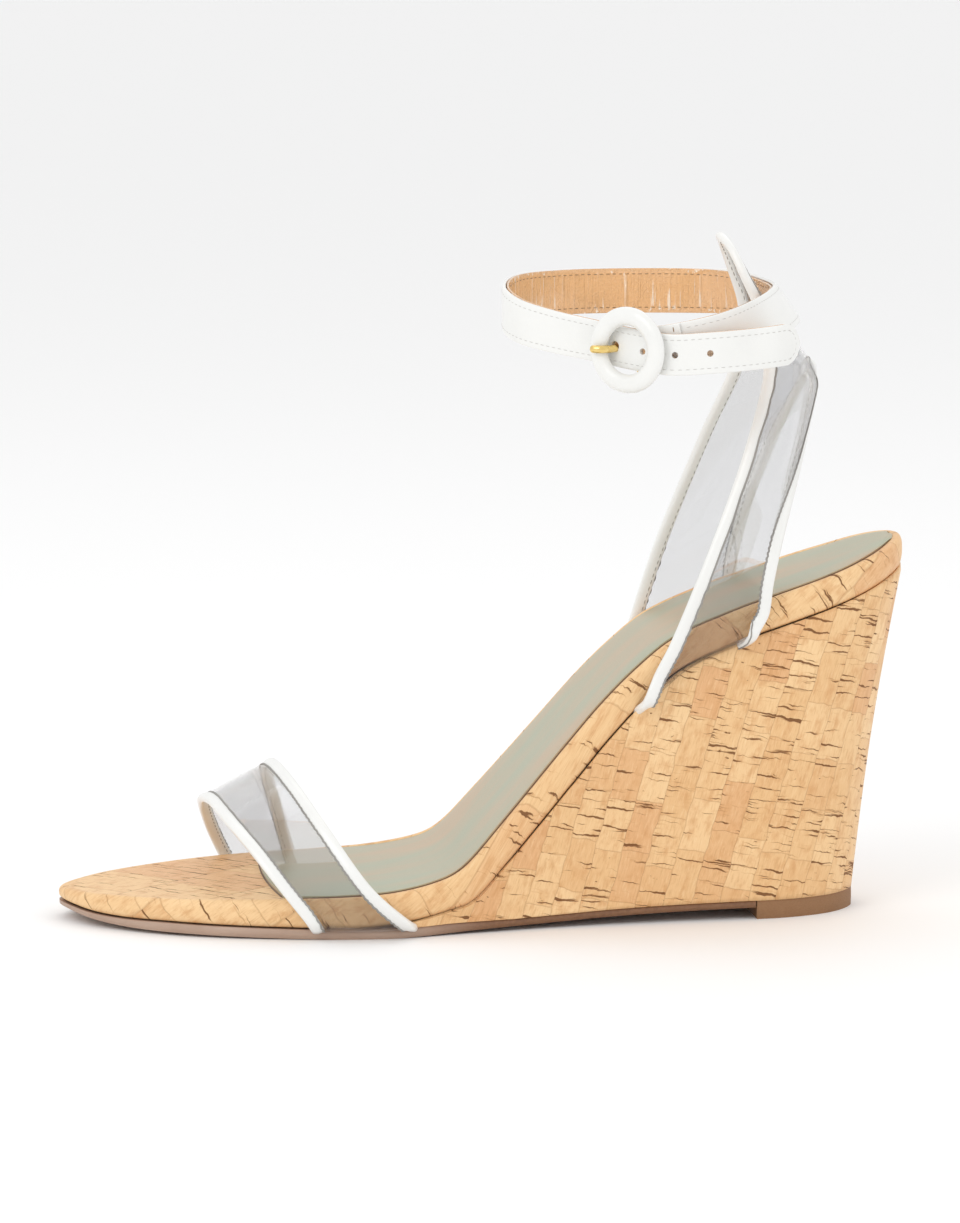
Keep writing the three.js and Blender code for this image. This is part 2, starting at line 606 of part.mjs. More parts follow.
const prongRise = ringOffset + ringThick / 2 + prongRadius + glue;
const prongWire = wire([
  [-barRadius - glue - hubWall, barOffset - 0.1], [-3, barOffset], [-4.5, barOffset + 0.8],
  [-5.1, barOffset + 2.4], [-5.2, 6.4], [-5.5, 8.1], [-6.7, prongRise - 0.5], [-8.2, prongRise],
  [-ringRadius - 0.8, prongRise - 0.1],
].map(([u, n]) => inBuckle(u, 0, n)), prongRadius, 26, 8);
const hubRod = (radius, length) => toSolid(rod(
  inBuckle(0, -length / 2, barOffset), inBuckle(0, length / 2, barOffset), radius, 20));
const hub = hubRod(barRadius + glue + hubWall, hubLength);
const prong = fromSolid(hub.add(toSolid(prongWire)).subtract(hubRod(barRadius + glue, hubLength + 2)));

// ---- Assembly ----------------------------------------------------------------------------------
const cork = { color: 0xe4be87, roughness: 0.75, metalness: 0 };
const whiteLeather = { color: 0xf0f0ee, roughness: 0.35, metalness: 0 };
const tanLeather = { color: 0xe8b987, roughness: 0.35, metalness: 0 };
const clearFilm = { color: 0xdfe3e8, roughness: 0.08, metalness: 0, transparent: true, opacity: 0.35 };
const brown = { color: 0x876446, roughness: 0.6, metalness: 0 };
const steel = { color: 0x9a9c9e, roughness: 0.4, metalness: 1 };
const gold = { color: 0xd9b45e, roughness: 0.25, metalness: 1 };

const group = new THREE.Group();
function add(name, geometry, look) {
  const mesh = new THREE.Mesh(geometry, new THREE.MeshStandardMaterial(look));
  mesh.name = name;
  group.add(mesh);
}

add('outsole', outsole, { color: 0xa08474, roughness: 0.5, metalness: 0 });
add('heel_top_piece', lift, brown);
pins.forEach((pin, i) => add(`top_piece_pin_${i + 1}`, rod(pin.foot, pin.top, pinRadius), steel));
add('wedge_core', core, { color: 0xc7a97c, roughness: 0.8, metalness: 0 });
add('wedge_cork_cover', wedgeCover, cork);
add('insole_board', board, { color: 0x8a7458, roughness: 0.9, metalness: 0 });
nails.forEach((nail, i) => add(`heel_nail_${i + 1}`, rod(nail.foot, nail.top, nailRadius), steel));
add('shank', shank, steel);
add('footbed_pad', pad, { color: 0xd8d2c4, roughness: 0.9, metalness: 0 });
add('footbed_rand', rand, cork);
add('toe_cork_cover', toeCover, cork);
add('sock_lining', sock, { color: 0xb4a98c, roughness: 0.35, metalness: 0.5 });
add('vamp_panel', vampPanel, clearFilm);
add('vamp_front_binding', binding(vampSteps.map(vampFrontFrame)), whiteLeather);
add('vamp_rear_binding', binding(vampSteps.map(vampRearFrame)), whiteLeather);
add('quarter_panel', quarterPanel, clearFilm);
add('quarter_front_binding', binding(even(0, 1, 64).map(frontFrame)), whiteLeather);
add('quarter_rear_binding', quarterRearBinding, whiteLeather);
add('ankle_strap', strapLeather, whiteLeather);
add('ankle_strap_lining', strapLining, tanLeather);
add('strap_tip', tipLeather, whiteLeather);
add('strap_tip_lining', tipLining, tanLeather);
add('buckle_strap', shortLeather, whiteLeather);
add('buckle_strap_lining', shortLining, tanLeather);
add('buckle_frame', buckleFrame, gold);
add('buckle_cover', buckleCover, whiteLeather);
add('buckle_prong', prong, gold);

export default group;
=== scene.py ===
import math
from bisect import bisect_right

import bmesh
import bpy
from mathutils import Matrix, Vector


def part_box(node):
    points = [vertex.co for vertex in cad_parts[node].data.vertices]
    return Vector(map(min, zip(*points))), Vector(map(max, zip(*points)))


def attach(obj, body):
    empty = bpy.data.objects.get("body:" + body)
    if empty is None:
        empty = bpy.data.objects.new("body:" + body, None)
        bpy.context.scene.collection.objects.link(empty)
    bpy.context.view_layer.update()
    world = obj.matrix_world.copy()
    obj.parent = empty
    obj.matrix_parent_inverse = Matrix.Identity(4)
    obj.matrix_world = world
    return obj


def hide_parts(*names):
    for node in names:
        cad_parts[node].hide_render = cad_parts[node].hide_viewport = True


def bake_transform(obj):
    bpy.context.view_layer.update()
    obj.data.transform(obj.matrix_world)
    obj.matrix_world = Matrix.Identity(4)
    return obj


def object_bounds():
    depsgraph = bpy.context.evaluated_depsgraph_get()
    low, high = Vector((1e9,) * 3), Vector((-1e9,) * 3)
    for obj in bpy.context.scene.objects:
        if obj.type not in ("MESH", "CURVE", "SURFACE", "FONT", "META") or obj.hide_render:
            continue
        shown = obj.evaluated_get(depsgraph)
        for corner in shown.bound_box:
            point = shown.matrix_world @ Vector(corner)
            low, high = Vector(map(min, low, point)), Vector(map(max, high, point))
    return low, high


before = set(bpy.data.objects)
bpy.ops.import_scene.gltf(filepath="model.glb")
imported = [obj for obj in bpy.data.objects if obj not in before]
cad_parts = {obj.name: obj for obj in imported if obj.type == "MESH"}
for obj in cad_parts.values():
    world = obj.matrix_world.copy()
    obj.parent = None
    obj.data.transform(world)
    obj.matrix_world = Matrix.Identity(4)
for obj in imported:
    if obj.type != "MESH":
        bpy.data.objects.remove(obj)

cad_low, cad_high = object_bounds()

# ---- Studio ------------------------------------------------------------------------------------
# A pale floor under a white sky, one broad key light from the toe side, a fill from the
# heel side and a soft top light. The camera looks at the buckle side from slightly above.
scene = bpy.context.scene
view_azimuth = math.radians(-7)
view_height = math.radians(8)
view_distance = 1.8
view_width = 0.2544
look_at = Vector((-0.0006, 0, 0.0803))

toward_camera = Vector((
    -math.sin(-view_azimuth) * math.cos(view_height),
    -math.cos(view_azimuth) * math.cos(view_height),
    math.sin(view_height)))
camera = bpy.data.objects.new("camera", bpy.data.cameras.new("camera"))
scene.collection.objects.link(camera)
camera.location = look_at + toward_camera * view_distance
camera.rotation_euler = (-toward_camera).to_track_quat("-Z", "Y").to_euler()
camera.data.sensor_fit = "HORIZONTAL"
camera.data.sensor_width = 36
camera.data.lens = camera.data.sensor_width * view_distance / view_width
camera.data.clip_end = 50
scene.camera = camera
scene.view_settings.view_transform = "Standard"

world = bpy.data.worlds.new("studio")
scene.world = world
world.use_nodes = True
sky = world.node_tree.nodes["Background"]
sky.inputs["Color"].default_value = (1, 1, 1, 1)
sky.inputs["Strength"].default_value = 0.93


def studio_light(name, place, size, power):
    light = bpy.data.lights.new(name, "AREA")
    light.shape = "RECTANGLE"
    light.size, light.size_y = size
    light.energy = power
    lamp = bpy.data.objects.new(name, light)
    scene.collection.objects.link(lamp)
    lamp.location = place
    lamp.rotation_euler = (Vector(place) - Vector((0, 0, 0.07))).to_track_quat("Z", "Y").to_euler()


studio_light("key_light", (-0.7, -0.75, 0.8), (0.6, 0.6), 3.0)
studio_light("fill_light", (0.95, -0.5, 0.45), (0.5, 0.9), 0.9)
studio_light("top_light", (0.1, 0.5, 1.1), (1.0, 0.6), 1.4)


def new_object(name, bm, smooth=False):
    """Turns a finished bmesh into an object of the scene."""
    made = bpy.data.objects.new(name, bpy.data.meshes.new(name))
    for face in bm.faces:
        face.smooth = smooth
    bm.to_mesh(made.data)
    bm.free()
    scene.collection.objects.link(made)
    return made


floor_mesh = bmesh.new()
bmesh.ops.create_grid(floor_mesh, x_segments=1, y_segments=1, size=6)
for corner in floor_mesh.verts:
    corner.co.z = cad_low.z
floor = new_object("floor", floor_mesh)
pale_floor = bpy.data.materials.new("pale_floor")
pale_floor.use_nodes = True
floor_shader = pale_floor.node_tree.nodes["Principled BSDF"]
floor_shader.inputs["Base Color"].default_value = (0.95, 0.95, 0.95, 1)
floor_shader.inputs["Roughness"].default_value = 0.7
floor.data.materials.append(pale_floor)

# ---- Outsole -----------------------------------------------------------------------------------
# Leather outsole, sanded smooth under the forefoot, with a dark painted edge. It is cemented under
# the footbed and wedge and ends where the heel top piece starts. It is cut, as every piece below is,
# to the last: a set of heights along the foot, and an outline seen from above.
mm = 0.001
rand_low, rand_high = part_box("footbed_rand")
toe_x = rand_low.x
sole_length = rand_high.x - rand_low.x
ball_half_width = 39 * mm
forefoot_height = 9.2 * mm
heel_rise = 90 * mm
bed_depth = 7 * mm
glue = 0.3 * mm


def curve_through(points):
    """Smooth height curve through [place, value] points."""
    slopes = []
    for i in range(len(points)):
        a, b = points[max(i - 1, 0)], points[min(i + 1, len(points) - 1)]
        slopes.append((b[1] - a[1]) / (b[0] - a[0]))

    def value(x):
        i = 0
        while i < len(points) - 2 and x > points[i + 1][0]:
            i += 1
        span = points[i + 1][0] - points[i][0]
        t = min(max((x - points[i][0]) / span, 0), 1)
        rise = points[i + 1][1] - points[i][1]
        ends = (slopes[i] * (1 - t) - slopes[i + 1] * t) * span
        return points[i][1] + rise * t * t * (3 - 2 * t) + t * (1 - t) * ends
    return value


seat_share = curve_through([
    (0, -0.022), (0.06, -0.014), (0.144, -0.006), (0.233, 0.001), (0.322, 0.006), (0.384, 0.019),
    (0.438, 0.05), (0.464, 0.088), (0.504, 0.197), (0.544, 0.312), (0.584, 0.428), (0.624, 0.541),
    (0.664, 0.639), (0.709, 0.727), (0.78, 0.804), (0.838, 0.853), (0.918, 0.92), (0.98, 0.981), (1, 1)])
ground_gap = curve_through([
    (0, 3.8), (0.035, 2.1), (0.08, 1.1), (0.15, 0.75), (0.24, 0.3), (0.31, 0), (0.375, 0),
    (0.465, 0.8), (0.567, 1.6), (0.65, 2.4), (0.767, 3), (1, 3.1)])
outsole_share = curve_through([(0, 0.4), (0.05, 0.7), (0.12, 1), (1, 1)])
waist_share = curve_through([(0.44, 0), (0.52, 1)])


def along(x):
    return (x - toe_x) / sole_length


def seat_top(x):
    return forefoot_height + heel_rise * seat_share(along(x))


def sole_under(x):
    return max(ground_gap(along(x)), 0) * mm


def sole_upper(x):
    thick = (2.4 - 0.6 * waist_share(along(x))) * mm
    return sole_under(x) + thick * outsole_share(along(x))


def bed_under(x):
    slope = (seat_top(x + mm) - seat_top(x - mm)) / (2 * mm)
    return max(sole_upper(x) + glue, seat_top(x) - bed_depth * math.hypot(1, slope))


def hermite(p, t, knots):
    """Centripetal curve between p[1] and p[2]."""
    k01, k12, k23 = knots
    start = ((p[1] - p[0]) / k01 - (p[2] - p[0]) / (k01 + k12) + (p[2] - p[1]) / k12) * k12
    end = ((p[2] - p[1]) / k12 - (p[3] - p[1]) / (k12 + k23) + (p[3] - p[2]) / k23) * k12
    return (p[1] * (2 * t ** 3 - 3 * t ** 2 + 1) + start * (t ** 3 - 2 * t ** 2 + t)
            + p[2] * (3 * t ** 2 - 2 * t ** 3) + end * (t ** 3 - t ** 2))


class Route:
    """Smooth line through a few places, read by share of its points or by distance."""

    def __init__(self, points, closed=False):
        self.spans = len(points) - (not closed)
        first, last = [points[0] * 2 - points[1]], [points[-1] * 2 - points[-2]]
        self.points = points[-1:] + points + points[:2] if closed else first + points + last
        self.samples = [self.at(i / 400) for i in range(401)]
        self.reached = [0.0]
        for a, b in zip(self.samples, self.samples[1:]):
            self.reached.append(self.reached[-1] + (b - a).length)
        self.length = self.reached[-1]

    def at(self, share):
        place = min(max(share, 0), 1) * self.spans
        i = min(int(place), self.spans - 1)
        p = self.points[i:i + 4]
        knots = [max((b - a).length ** 0.5, 1e-6) for a, b in zip(p, p[1:])]
        return hermite(p, place - i, knots)

    def heading(self, share):
        return (self.at(min(share + 0.0005, 1)) - self.at(max(share - 0.0005, 0))).normalized()

    def share_at(self, distance):
        distance = min(max(distance, 0), self.length)
        high = min(max(bisect_right(self.reached, distance), 1), 400)
        low = high - 1
        step = self.reached[high] - self.reached[low]
        return (low + (distance - self.reached[low]) / max(step, 1e-9)) / 400

    def distance_to(self, place):
        nearest = min(range(401), key=lambda i: (self.samples[i] - place).length)
        return self.reached[nearest]


outline_shares = [
    (0, 0.13), (0.022, -0.22), (0.07, -0.5), (0.15, -0.78), (0.26, -0.95), (0.375, -1), (0.48, -0.9),
    (0.6, -0.79), (0.72, -0.73), (0.82, -0.7), (0.9, -0.655), (0.96, -0.48), (0.992, -0.22), (1, 0),
    (0.992, 0.22), (0.96, 0.47), (0.9, 0.64), (0.82, 0.67), (0.72, 0.655), (0.6, 0.66), (0.5, 0.76),
    (0.4, 0.91), (0.3, 1), (0.2, 0.93), (0.1, 0.7), (0.035, 0.44)]
outline = Route([Vector((toe_x + f * sole_length, g * ball_half_width, 0))
                 for f, g in outline_shares], True)


def inward(share):
    ahead, behind = outline.at((share + 0.001) % 1), outline.at((share - 0.001) % 1)
    run = ahead - behind
    return Vector((-run.y, run.x, 0)).normalized()


def loop_at(depth, count=260):
    places = [outline.share_at(outline.length * i / count) for i in range(count)]
    return [outline.at(s) + inward(s) * depth for s in places]


def span_at(loop, x):
    hits = []
    for p, q in zip(loop, loop[1:] + loop[:1]):
        if (p.x - x) * (q.x - x) <= 0 and p.x != q.x:
            hits.append(p.y + (q.y - p.y) * (x - p.x) / (q.x - p.x))
    return (min(hits), max(hits)) if hits else (0, 0)


def skin(name, rows, columns, place, chart=(1, 1), wall=0, ring=False, tube=False):
    """A sheet of rows by columns bent to shape: a closed ring, a capped tube or an open sheet. chart is
    its size, so that patterns keep their scale, and wall is its thickness."""
    bm = bmesh.new()
    cloth = bm.loops.layers.uv.new("cloth")
    bmesh.ops.create_grid(bm, x_segments=rows, y_segments=columns, size=0.5, calc_uvs=True)
    shares = {v: (v.co.x + 0.5, v.co.y + 0.5) for v in bm.verts}
    for f in bm.faces:
        for corner in f.loops:
            u, v = shares[corner.vert]
            corner[cloth].uv = (u * chart[0], v * chart[1])
    for v in bm.verts:
        v.co = place(*shares[v])
    bmesh.ops.remove_doubles(bm, verts=bm.verts, dist=2e-6)
    if tube and not ring:
        rims = [e for e in bm.edges if e.is_boundary]
        bmesh.ops.holes_fill(bm, edges=rims, sides=0)
    if wall:
        bmesh.ops.solidify(bm, geom=bm.faces[:], thickness=wall)
    bmesh.ops.recalc_face_normals(bm, faces=bm.faces)
    return new_object(name, bm, smooth=True)


def sharp_edges(piece, angle=40):
    """Keeps corners crisp while the rest stays smooth."""
    limit = math.cos(math.radians(angle))
    bm = bmesh.new()
    bm.from_mesh(piece.data)
    for e in bm.edges:
        if len(e.link_faces) == 2:
            e.smooth = e.link_faces[0].normal.dot(e.link_faces[1].normal) > limit
    bm.to_mesh(piece.data)
    bm.free()


def finish_piece(piece, material, body, slot, *nodes):
    """Finish, body and the CAD nodes that the piece stands for. A body of None leaves the piece without one.
    """
    piece.data.materials.clear()
    piece.data.materials.append(material)
    sharp_edges(piece)
    if body:
        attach(piece, body)
    if nodes:
        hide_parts(*nodes)


class Finish:
    """A material whose Principled shader is fed by patterns that are measured in metres."""

    def __init__(self, name, **sockets):
        self.material = bpy.data.materials.new(name)
        self.material.use_nodes = True
        self.tree = self.material.node_tree
        self.shader = self.tree.nodes["Principled BSDF"]
        self.set(self.shader, sockets)

    def set(self, node, sockets):
        for key, value in sockets.items():
            socket = node.inputs[key.replace("_", " ")] if isinstance(key, str) else node.inputs[key]
            if isinstance(value, bpy.types.NodeSocket):
                self.tree.links.new(value, socket)
            elif isinstance(value, tuple) and len(value) == 3 and socket.type == "RGBA":
                socket.default_value = (*value, 1)
            else:
                socket.default_value = value

    def node(self, kind, settings=None, **sockets):
        made = self.tree.nodes.new("ShaderNode" + kind)
        for key, value in (settings or {}).items():
            setattr(made, key, value)
        self.set(made, sockets)
        return made

    def math(self, operation, a, b=0.0):
        made = self.tree.nodes.new("ShaderNodeMath")
        made.operation = operation
        self.set(made, {0: a, 1: b})
        return made.outputs[0]

    def times(self, a, b):
        return self.math("MULTIPLY", a, b)

    def plus(self, a, b):
        return self.math("ADD", a, b)

    def minus(self, a, b):
        return self.math("SUBTRACT", a, b)

    def mix(self, share, a, b):
        made = self.tree.nodes.new("ShaderNodeMix")
        made.data_type = "RGBA"
        self.set(made, {0: share, 6: a, 7: b})
        return made.outputs[2]

    def ramp(self, value, low, high):
        made = self.node("MapRange", {"interpolation_type": "SMOOTHSTEP"}, Value=value)
        made.inputs["From Min"].default_value = low
        made.inputs["From Max"].default_value = high
        return made.outputs[0]

    def place(self, scale=(1, 1, 1), turn=(0, 0, 0), chart=False, source=None):
        if source is None:
            source = (self.node("UVMap", {"uv_map": "cloth"}).outputs[0] if chart
                      else self.node("TexCoord").outputs["Object"])
        made = self.node("Mapping", Vector=source)
        made.inputs["Scale"].default_value = scale
        made.inputs["Rotation"].default_value = turn
        return made.outputs[0]

    def shift(self, a, b):
        """The place a moved by b."""
        made = self.node("VectorMath", {"operation": "ADD"})
        self.set(made, {0: a, 1: b})
        return made.outputs[0]

    def noise(self, where, scale, detail=4.0, rough=0.55):
        made = self.node("TexNoise", Vector=where, Scale=scale, Detail=detail, Roughness=rough)
        return made.outputs["Fac"]

    def bump(self, height, distance, strength=1.0):
        made = self.node("Bump", Height=height, Strength=strength, Distance=distance)
        self.tree.links.new(made.outputs[0], self.shader.inputs["Normal"])


def srgb(r, g, b):
    return tuple((c / 255) ** 2.2 for c in (r, g, b))


tip_x = toe_x
while bed_under(tip_x) - sole_upper(tip_x) < 1.5 * mm:
    tip_x += 0.5 * mm
heel_x = toe_x + sole_length
under_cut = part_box("wedge_cork_cover")[1].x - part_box("heel_top_piece")[1].x
wedge_taper = 0.8


def wedge_share(x):
    return min(max((x - tip_x) / (heel_x - tip_x), 0), 1)


def foot_place(p):
    """The place under a point of the footbed's outline, on the outline of the wedge's foot."""
    s = wedge_share(p.x)
    return Vector((p.x - under_cut * s, p.y * (1 + (wedge_taper - 1) * s), 0))


foot_loop = [foot_place(p) for p in loop_at(0)]


def slab(name, loop, start, end, upper, lower, rows=90, edge=0.5 * mm, bend=lambda g: 0.0, across=22):
    """A layer with softened edges between two heights, cut from an outline."""
    columns = across * 2 + 6

    def place(u, v):
        ring = v * columns % columns
        if ring <= across:
            g, up = -1 + 2 * ring / across, 1
        elif ring <= across + 3:
            g, up = 1, 1 - (ring - across) * 2 / 3
        elif ring <= 2 * across + 3:
            g, up = 1 - 2 * (ring - across - 3) / across, -1
        else:
            g, up = -1, -1 + (ring - 2 * across - 3) * 2 / 3
        t = 0.4 * u + 0.6 * (0.5 - math.cos(math.pi * u) / 2)
        x = start + (end + bend(g) - start) * t
        low, high = span_at(loop, x)
        soft = edge if abs(up) == 1 and abs(g) > 0.999 else 0
        half = max((high - low) / 2 - soft, 0)
        y = (low + high) / 2 + g * half
        top, base = upper(x), lower(x)
        z = (top + base) / 2 + up * (top - base) / 2
        return Vector((x, y, z))
    return skin(name, rows, columns, place, tube=True)


def reach(loop):
    return min(p.x for p in loop) + 0.15 * mm, max(p.x for p in loop) - 0.15 * mm


lift_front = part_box("heel_top_piece")[0].x
outsole = slab("outsole", foot_loop, reach(foot_loop)[0], lift_front - glue, sole_upper, sole_under, 110)
sole_look = Finish("outsole_leather")
sole_place = sole_look.place()
sole_xyz = sole_look.node("SeparateXYZ", Vector=sole_place)
fade = sole_look.ramp(sole_xyz.outputs[0], 0.002, -0.03)
scuff = sole_look.noise(sole_look.place((0.3, 1, 1)), 240, 5)
edge_paint = sole_look.mix(sole_look.noise(sole_place, 900, 3), srgb(96, 62, 40), srgb(142, 104, 74))
forefoot_look = sole_look.mix(scuff, srgb(186, 160, 142), srgb(160, 132, 114))
sole_look.set(sole_look.shader, {
    "Base Color": sole_look.mix(fade, edge_paint, forefoot_look),
    "Roughness": sole_look.plus(0.38, sole_look.times(scuff, 0.2))})
sole_look.bump(scuff, 0.0001, 0.5)
finish_piece(outsole, sole_look.material, "sole", "sole_leather", "outsole")

# ---- Heel top piece ----------------------------------------------------------------------------
# Brown rubber top piece under the heel, pinned and cemented on, with a squared front face.
lift = slab("heel_top_piece", foot_loop, lift_front, reach(foot_loop)[1], lambda x: sole_upper(x) + 0.1 * mm,
            lambda x: 0.0, 46, 0.35 * mm)
lift_look = Finish("top_piece_rubber", Specular_IOR_Level=0.35)
lift_grain = lift_look.noise(lift_look.place((1, 1, 3)), 1500, 4)
lift_cloud = lift_look.noise(lift_look.place(), 120, 3)
lift_color = lift_look.mix(lift_grain, srgb(150, 112, 80), srgb(112, 80, 54))
lift_look.set(lift_look.shader, {
    "Base Color": lift_look.mix(lift_look.times(lift_cloud, 0.5), lift_color, srgb(168, 128, 92)),
    "Roughness": lift_look.plus(0.5, lift_look.times(lift_grain, 0.25))})
lift_look.bump(lift_grain, 0.00012, 0.6)
finish_piece(lift, lift_look.material, "sole", "top_piece_rubber", "heel_top_piece")

# ---- Wedge -------------------------------------------------------------------------------------
# A moulded core wrapped in one sheet of patchwork cork. The sheet is glued round the core from the
# front tip on one side, round the heel, to the front tip on the other.
def ease(a, b, x):
    t = min(max((x - a) / (b - a), 0), 1)
    return t * t * (3 - 2 * t)


def opened(loop):
    """A loop with a gap in it, as a line that starts after the gap."""
    gap = max(range(len(loop)), key=lambda i: (loop[i] - loop[i - 1]).length)
    return loop[gap:] + loop[:gap]


wedge_loop = opened([p for p in loop_at(0, 400) if p.x > tip_x])
if wedge_loop[0].y > 0:
    wedge_loop.reverse()
wall_route = Route(wedge_loop[::6] + [wedge_loop[-1]])
heel_dip = 1.1 * mm          # the wall's slight hollow between seat and foot


def wedge_wall(u, v):
    top = wall_route.at(u)
    foot = foot_place(top)
    run = wall_route.heading(u)
    outward = Vector((run.y, -run.x, 0))
    high = bed_under(top.x) - 0.1 * mm
    low = sole_upper(foot.x) + 0.1 * mm
    place = foot.lerp(top, v)
    place.z = low + (high - low) * v
    hollow = heel_dip * math.sin(math.pi * v) * wedge_share(top.x)
    rolled = 0.35 * mm * (1 - ease(0, 0.012, 1 - v))
    return place - outward * (hollow + rolled)


def rechart(piece, chart):
    """Lays a piece's cloth chart anew, from each corner's old place on it and its place in space."""
    layer = piece.data.uv_layers["cloth"].data
    for corner in piece.data.loops:
        u, v = layer[corner.index].uv
        layer[corner.index].uv = chart(u, v, piece.data.vertices[corner.vertex_index].co)


# Distance round the wedge, and height, so that the blocks keep their size.
wedge_cover = skin("wedge_cork_cover", 260, 60, wedge_wall)
rechart(wedge_cover, lambda u, v, spot: (u * wall_route.length, spot.z))
wall_thickness = wedge_cover.modifiers.new("sheet_thickness", "SOLIDIFY")
wall_thickness.thickness = 1 * mm
wall_thickness.offset = -1


# Effect shared by the cork pieces: sheets of cork cut in small blocks, each with its own shade and
# grain, with short dark pores lying across the grain.
def cork_group():
    group = bpy.data.node_groups.new("cork_patchwork", "ShaderNodeTree")
    face = group.interface
    for name, kind, value in (
            ("Chart", "NodeSocketVector", None), ("Block Width", "NodeSocketFloat", 0.0085),
            ("Block Height", "NodeSocketFloat", 0.013), ("Pores", "NodeSocketFloat", 1.0),
            ("Contrast", "NodeSocketFloat", 1.0)):
        socket = face.new_socket(name, in_out="INPUT", socket_type=kind)
        if value is not None:
            socket.default_value = value
    for name, kind in (("Color", "NodeSocketColor"), ("Height", "NodeSocketFloat"),
                       ("Roughness", "NodeSocketFloat")):
        face.new_socket(name, in_out="OUTPUT", socket_type=kind)
    kit = Finish.__new__(Finish)
    kit.tree = group
    inside = group.nodes.new("NodeGroupInput")
    outside = group.nodes.new("NodeGroupOutput")
    chart = kit.node("SeparateXYZ", Vector=inside.outputs["Chart"])
    wobble = kit.noise(inside.outputs["Chart"], 180, 1)
    shift = kit.times(kit.minus(wobble, 0.5), 0.0016)
    side = kit.math("DIVIDE", kit.plus(chart.outputs[0], shift), inside.outputs["Block Width"])
    column = kit.math("FLOOR", side)
    lift = kit.node("TexWhiteNoise", {"noise_dimensions": "1D"}, W=column).outputs["Value"]
    up = kit.plus(kit.math("DIVIDE", kit.plus(chart.outputs[1], shift),
                                  inside.outputs["Block Height"]), kit.times(lift, 3.0))
    row = kit.math("FLOOR", up)
    cell = kit.node("CombineXYZ", X=column, Y=row).outputs[0]
    dice = kit.node("TexWhiteNoise", {"noise_dimensions": "3D"}, Vector=cell)
    shade = dice.outputs["Value"]
    split = kit.node("SeparateXYZ", Vector=dice.outputs["Color"])
    # distance from the block's edge, for the fine joint between blocks
    near_side = kit.math("ABSOLUTE", kit.minus(kit.math("FRACT", side), 0.5))
    near_end = kit.math("ABSOLUTE", kit.minus(kit.math("FRACT", up), 0.5))
    joint = kit.math("MAXIMUM", kit.ramp(near_side, 0.475, 0.5), kit.ramp(near_end, 0.485, 0.5))
    # each block is cut from another place in the cork, so its pattern is moved at random
    where = kit.shift(inside.outputs["Chart"], dice.outputs["Color"])
    grain = kit.noise(kit.place((1, 0.14, 1), source=where), 2300, 5, 0.62)
    cloud = kit.noise(kit.place((1, 0.6, 1), source=where), 330, 5, 0.62)
    few = kit.times(kit.minus(split.outputs[1], 0.5), 0.05)
    more = kit.times(kit.minus(inside.outputs["Pores"], 1.0), 0.05)
    wave = kit.noise(where, 300, 2)
    bent = kit.node("CombineXYZ", X=0.0, Y=kit.times(wave, 0.0016)).outputs[0]
    wavy = kit.shift(where, bent)
    long_noise = kit.noise(kit.place((0.05, 1, 1), source=wavy), 1150, 2.2, 0.55)
    short_noise = kit.noise(kit.place((0.3, 1, 1), source=wavy), 900, 3, 0.6)
    line_level = kit.plus(kit.plus(long_noise, few), more)
    spot_level = kit.plus(kit.plus(short_noise, few), more)
    lines = kit.ramp(line_level, 0.632, 0.668)
    spots = kit.ramp(spot_level, 0.725, 0.755)
    pores = kit.math("MAXIMUM", lines, spots)
    halo = kit.math("MAXIMUM", kit.ramp(line_level, 0.59, 0.65), kit.ramp(spot_level, 0.685, 0.745))
    base = kit.mix(kit.times(shade, inside.outputs["Contrast"]), srgb(240, 202, 152), srgb(222, 174, 120))
    for mask, strength, tone in (
            (kit.ramp(split.outputs[0], 0.6, 1.0), 0.4, srgb(226, 172, 130)),
            (kit.ramp(cloud, 0.45, 0.72), 0.6, srgb(207, 150, 97)),
            (kit.ramp(grain, 0.5, 0.75), 0.4, srgb(190, 138, 86)),
            (kit.ramp(grain, 0.5, 0.25), 0.4, srgb(246, 216, 170)),
            (joint, 0.32, srgb(160, 110, 64)),
            (halo, 0.4, srgb(184, 128, 72)),
            (pores, 0.88, srgb(112, 72, 42))):
        base = kit.mix(kit.times(mask, strength), base, tone)
    height = kit.minus(kit.times(grain, 0.35), pores)
    height = kit.minus(height, kit.times(joint, 0.5))
    rough = kit.plus(0.48, kit.times(pores, 0.3))
    kit.set(outside, {"Color": base, "Height": height, "Roughness": rough})
    return group


cork_pattern = cork_group()


def cork_finish(name, width, height, pores, contrast, turn=0.0, chart=True):
    made = Finish(name, Specular_IOR_Level=0.35)
    where = made.place(turn=(0, 0, turn), chart=chart)
    pattern = made.node("Group", {"node_tree": cork_pattern})
    made.set(pattern, {"Chart": where, "Block Width": width, "Block Height": height,
                       "Pores": pores, "Contrast": contrast})
    made.set(made.shader, {"Base Color": pattern.outputs[0], "Roughness": pattern.outputs[2]})
    made.bump(pattern.outputs[1], 0.00025, 0.6)
    return made.material


wedge_cork = cork_finish("wedge_cork", 0.0082, 0.0135, 1.1, 0.95, math.radians(10))
finish_piece(wedge_cover, wedge_cork, "sole", "cork", "wedge_cork_cover")

# ---- Footbed edge ------------------------------------------------------------------------------
# A strip of cork folded round the insole board's edge, slightly puffed, standing a little above the
# sock.
rand_wall = 4.2 * mm
rand_rim = 1.1 * mm
arch_rise = 0.8 * mm         # how much prouder the strip stands on the arch side


def rounded(v, half_width, half_thick, power=5):
    """Point on a rounded rectangle's edge, v running once round it."""
    a = 2 * math.pi * v
    c, s = math.cos(a), math.sin(a)
    return (half_width * math.copysign(abs(c) ** (2 / power), c),
            half_thick * math.copysign(abs(s) ** (2 / power), s))


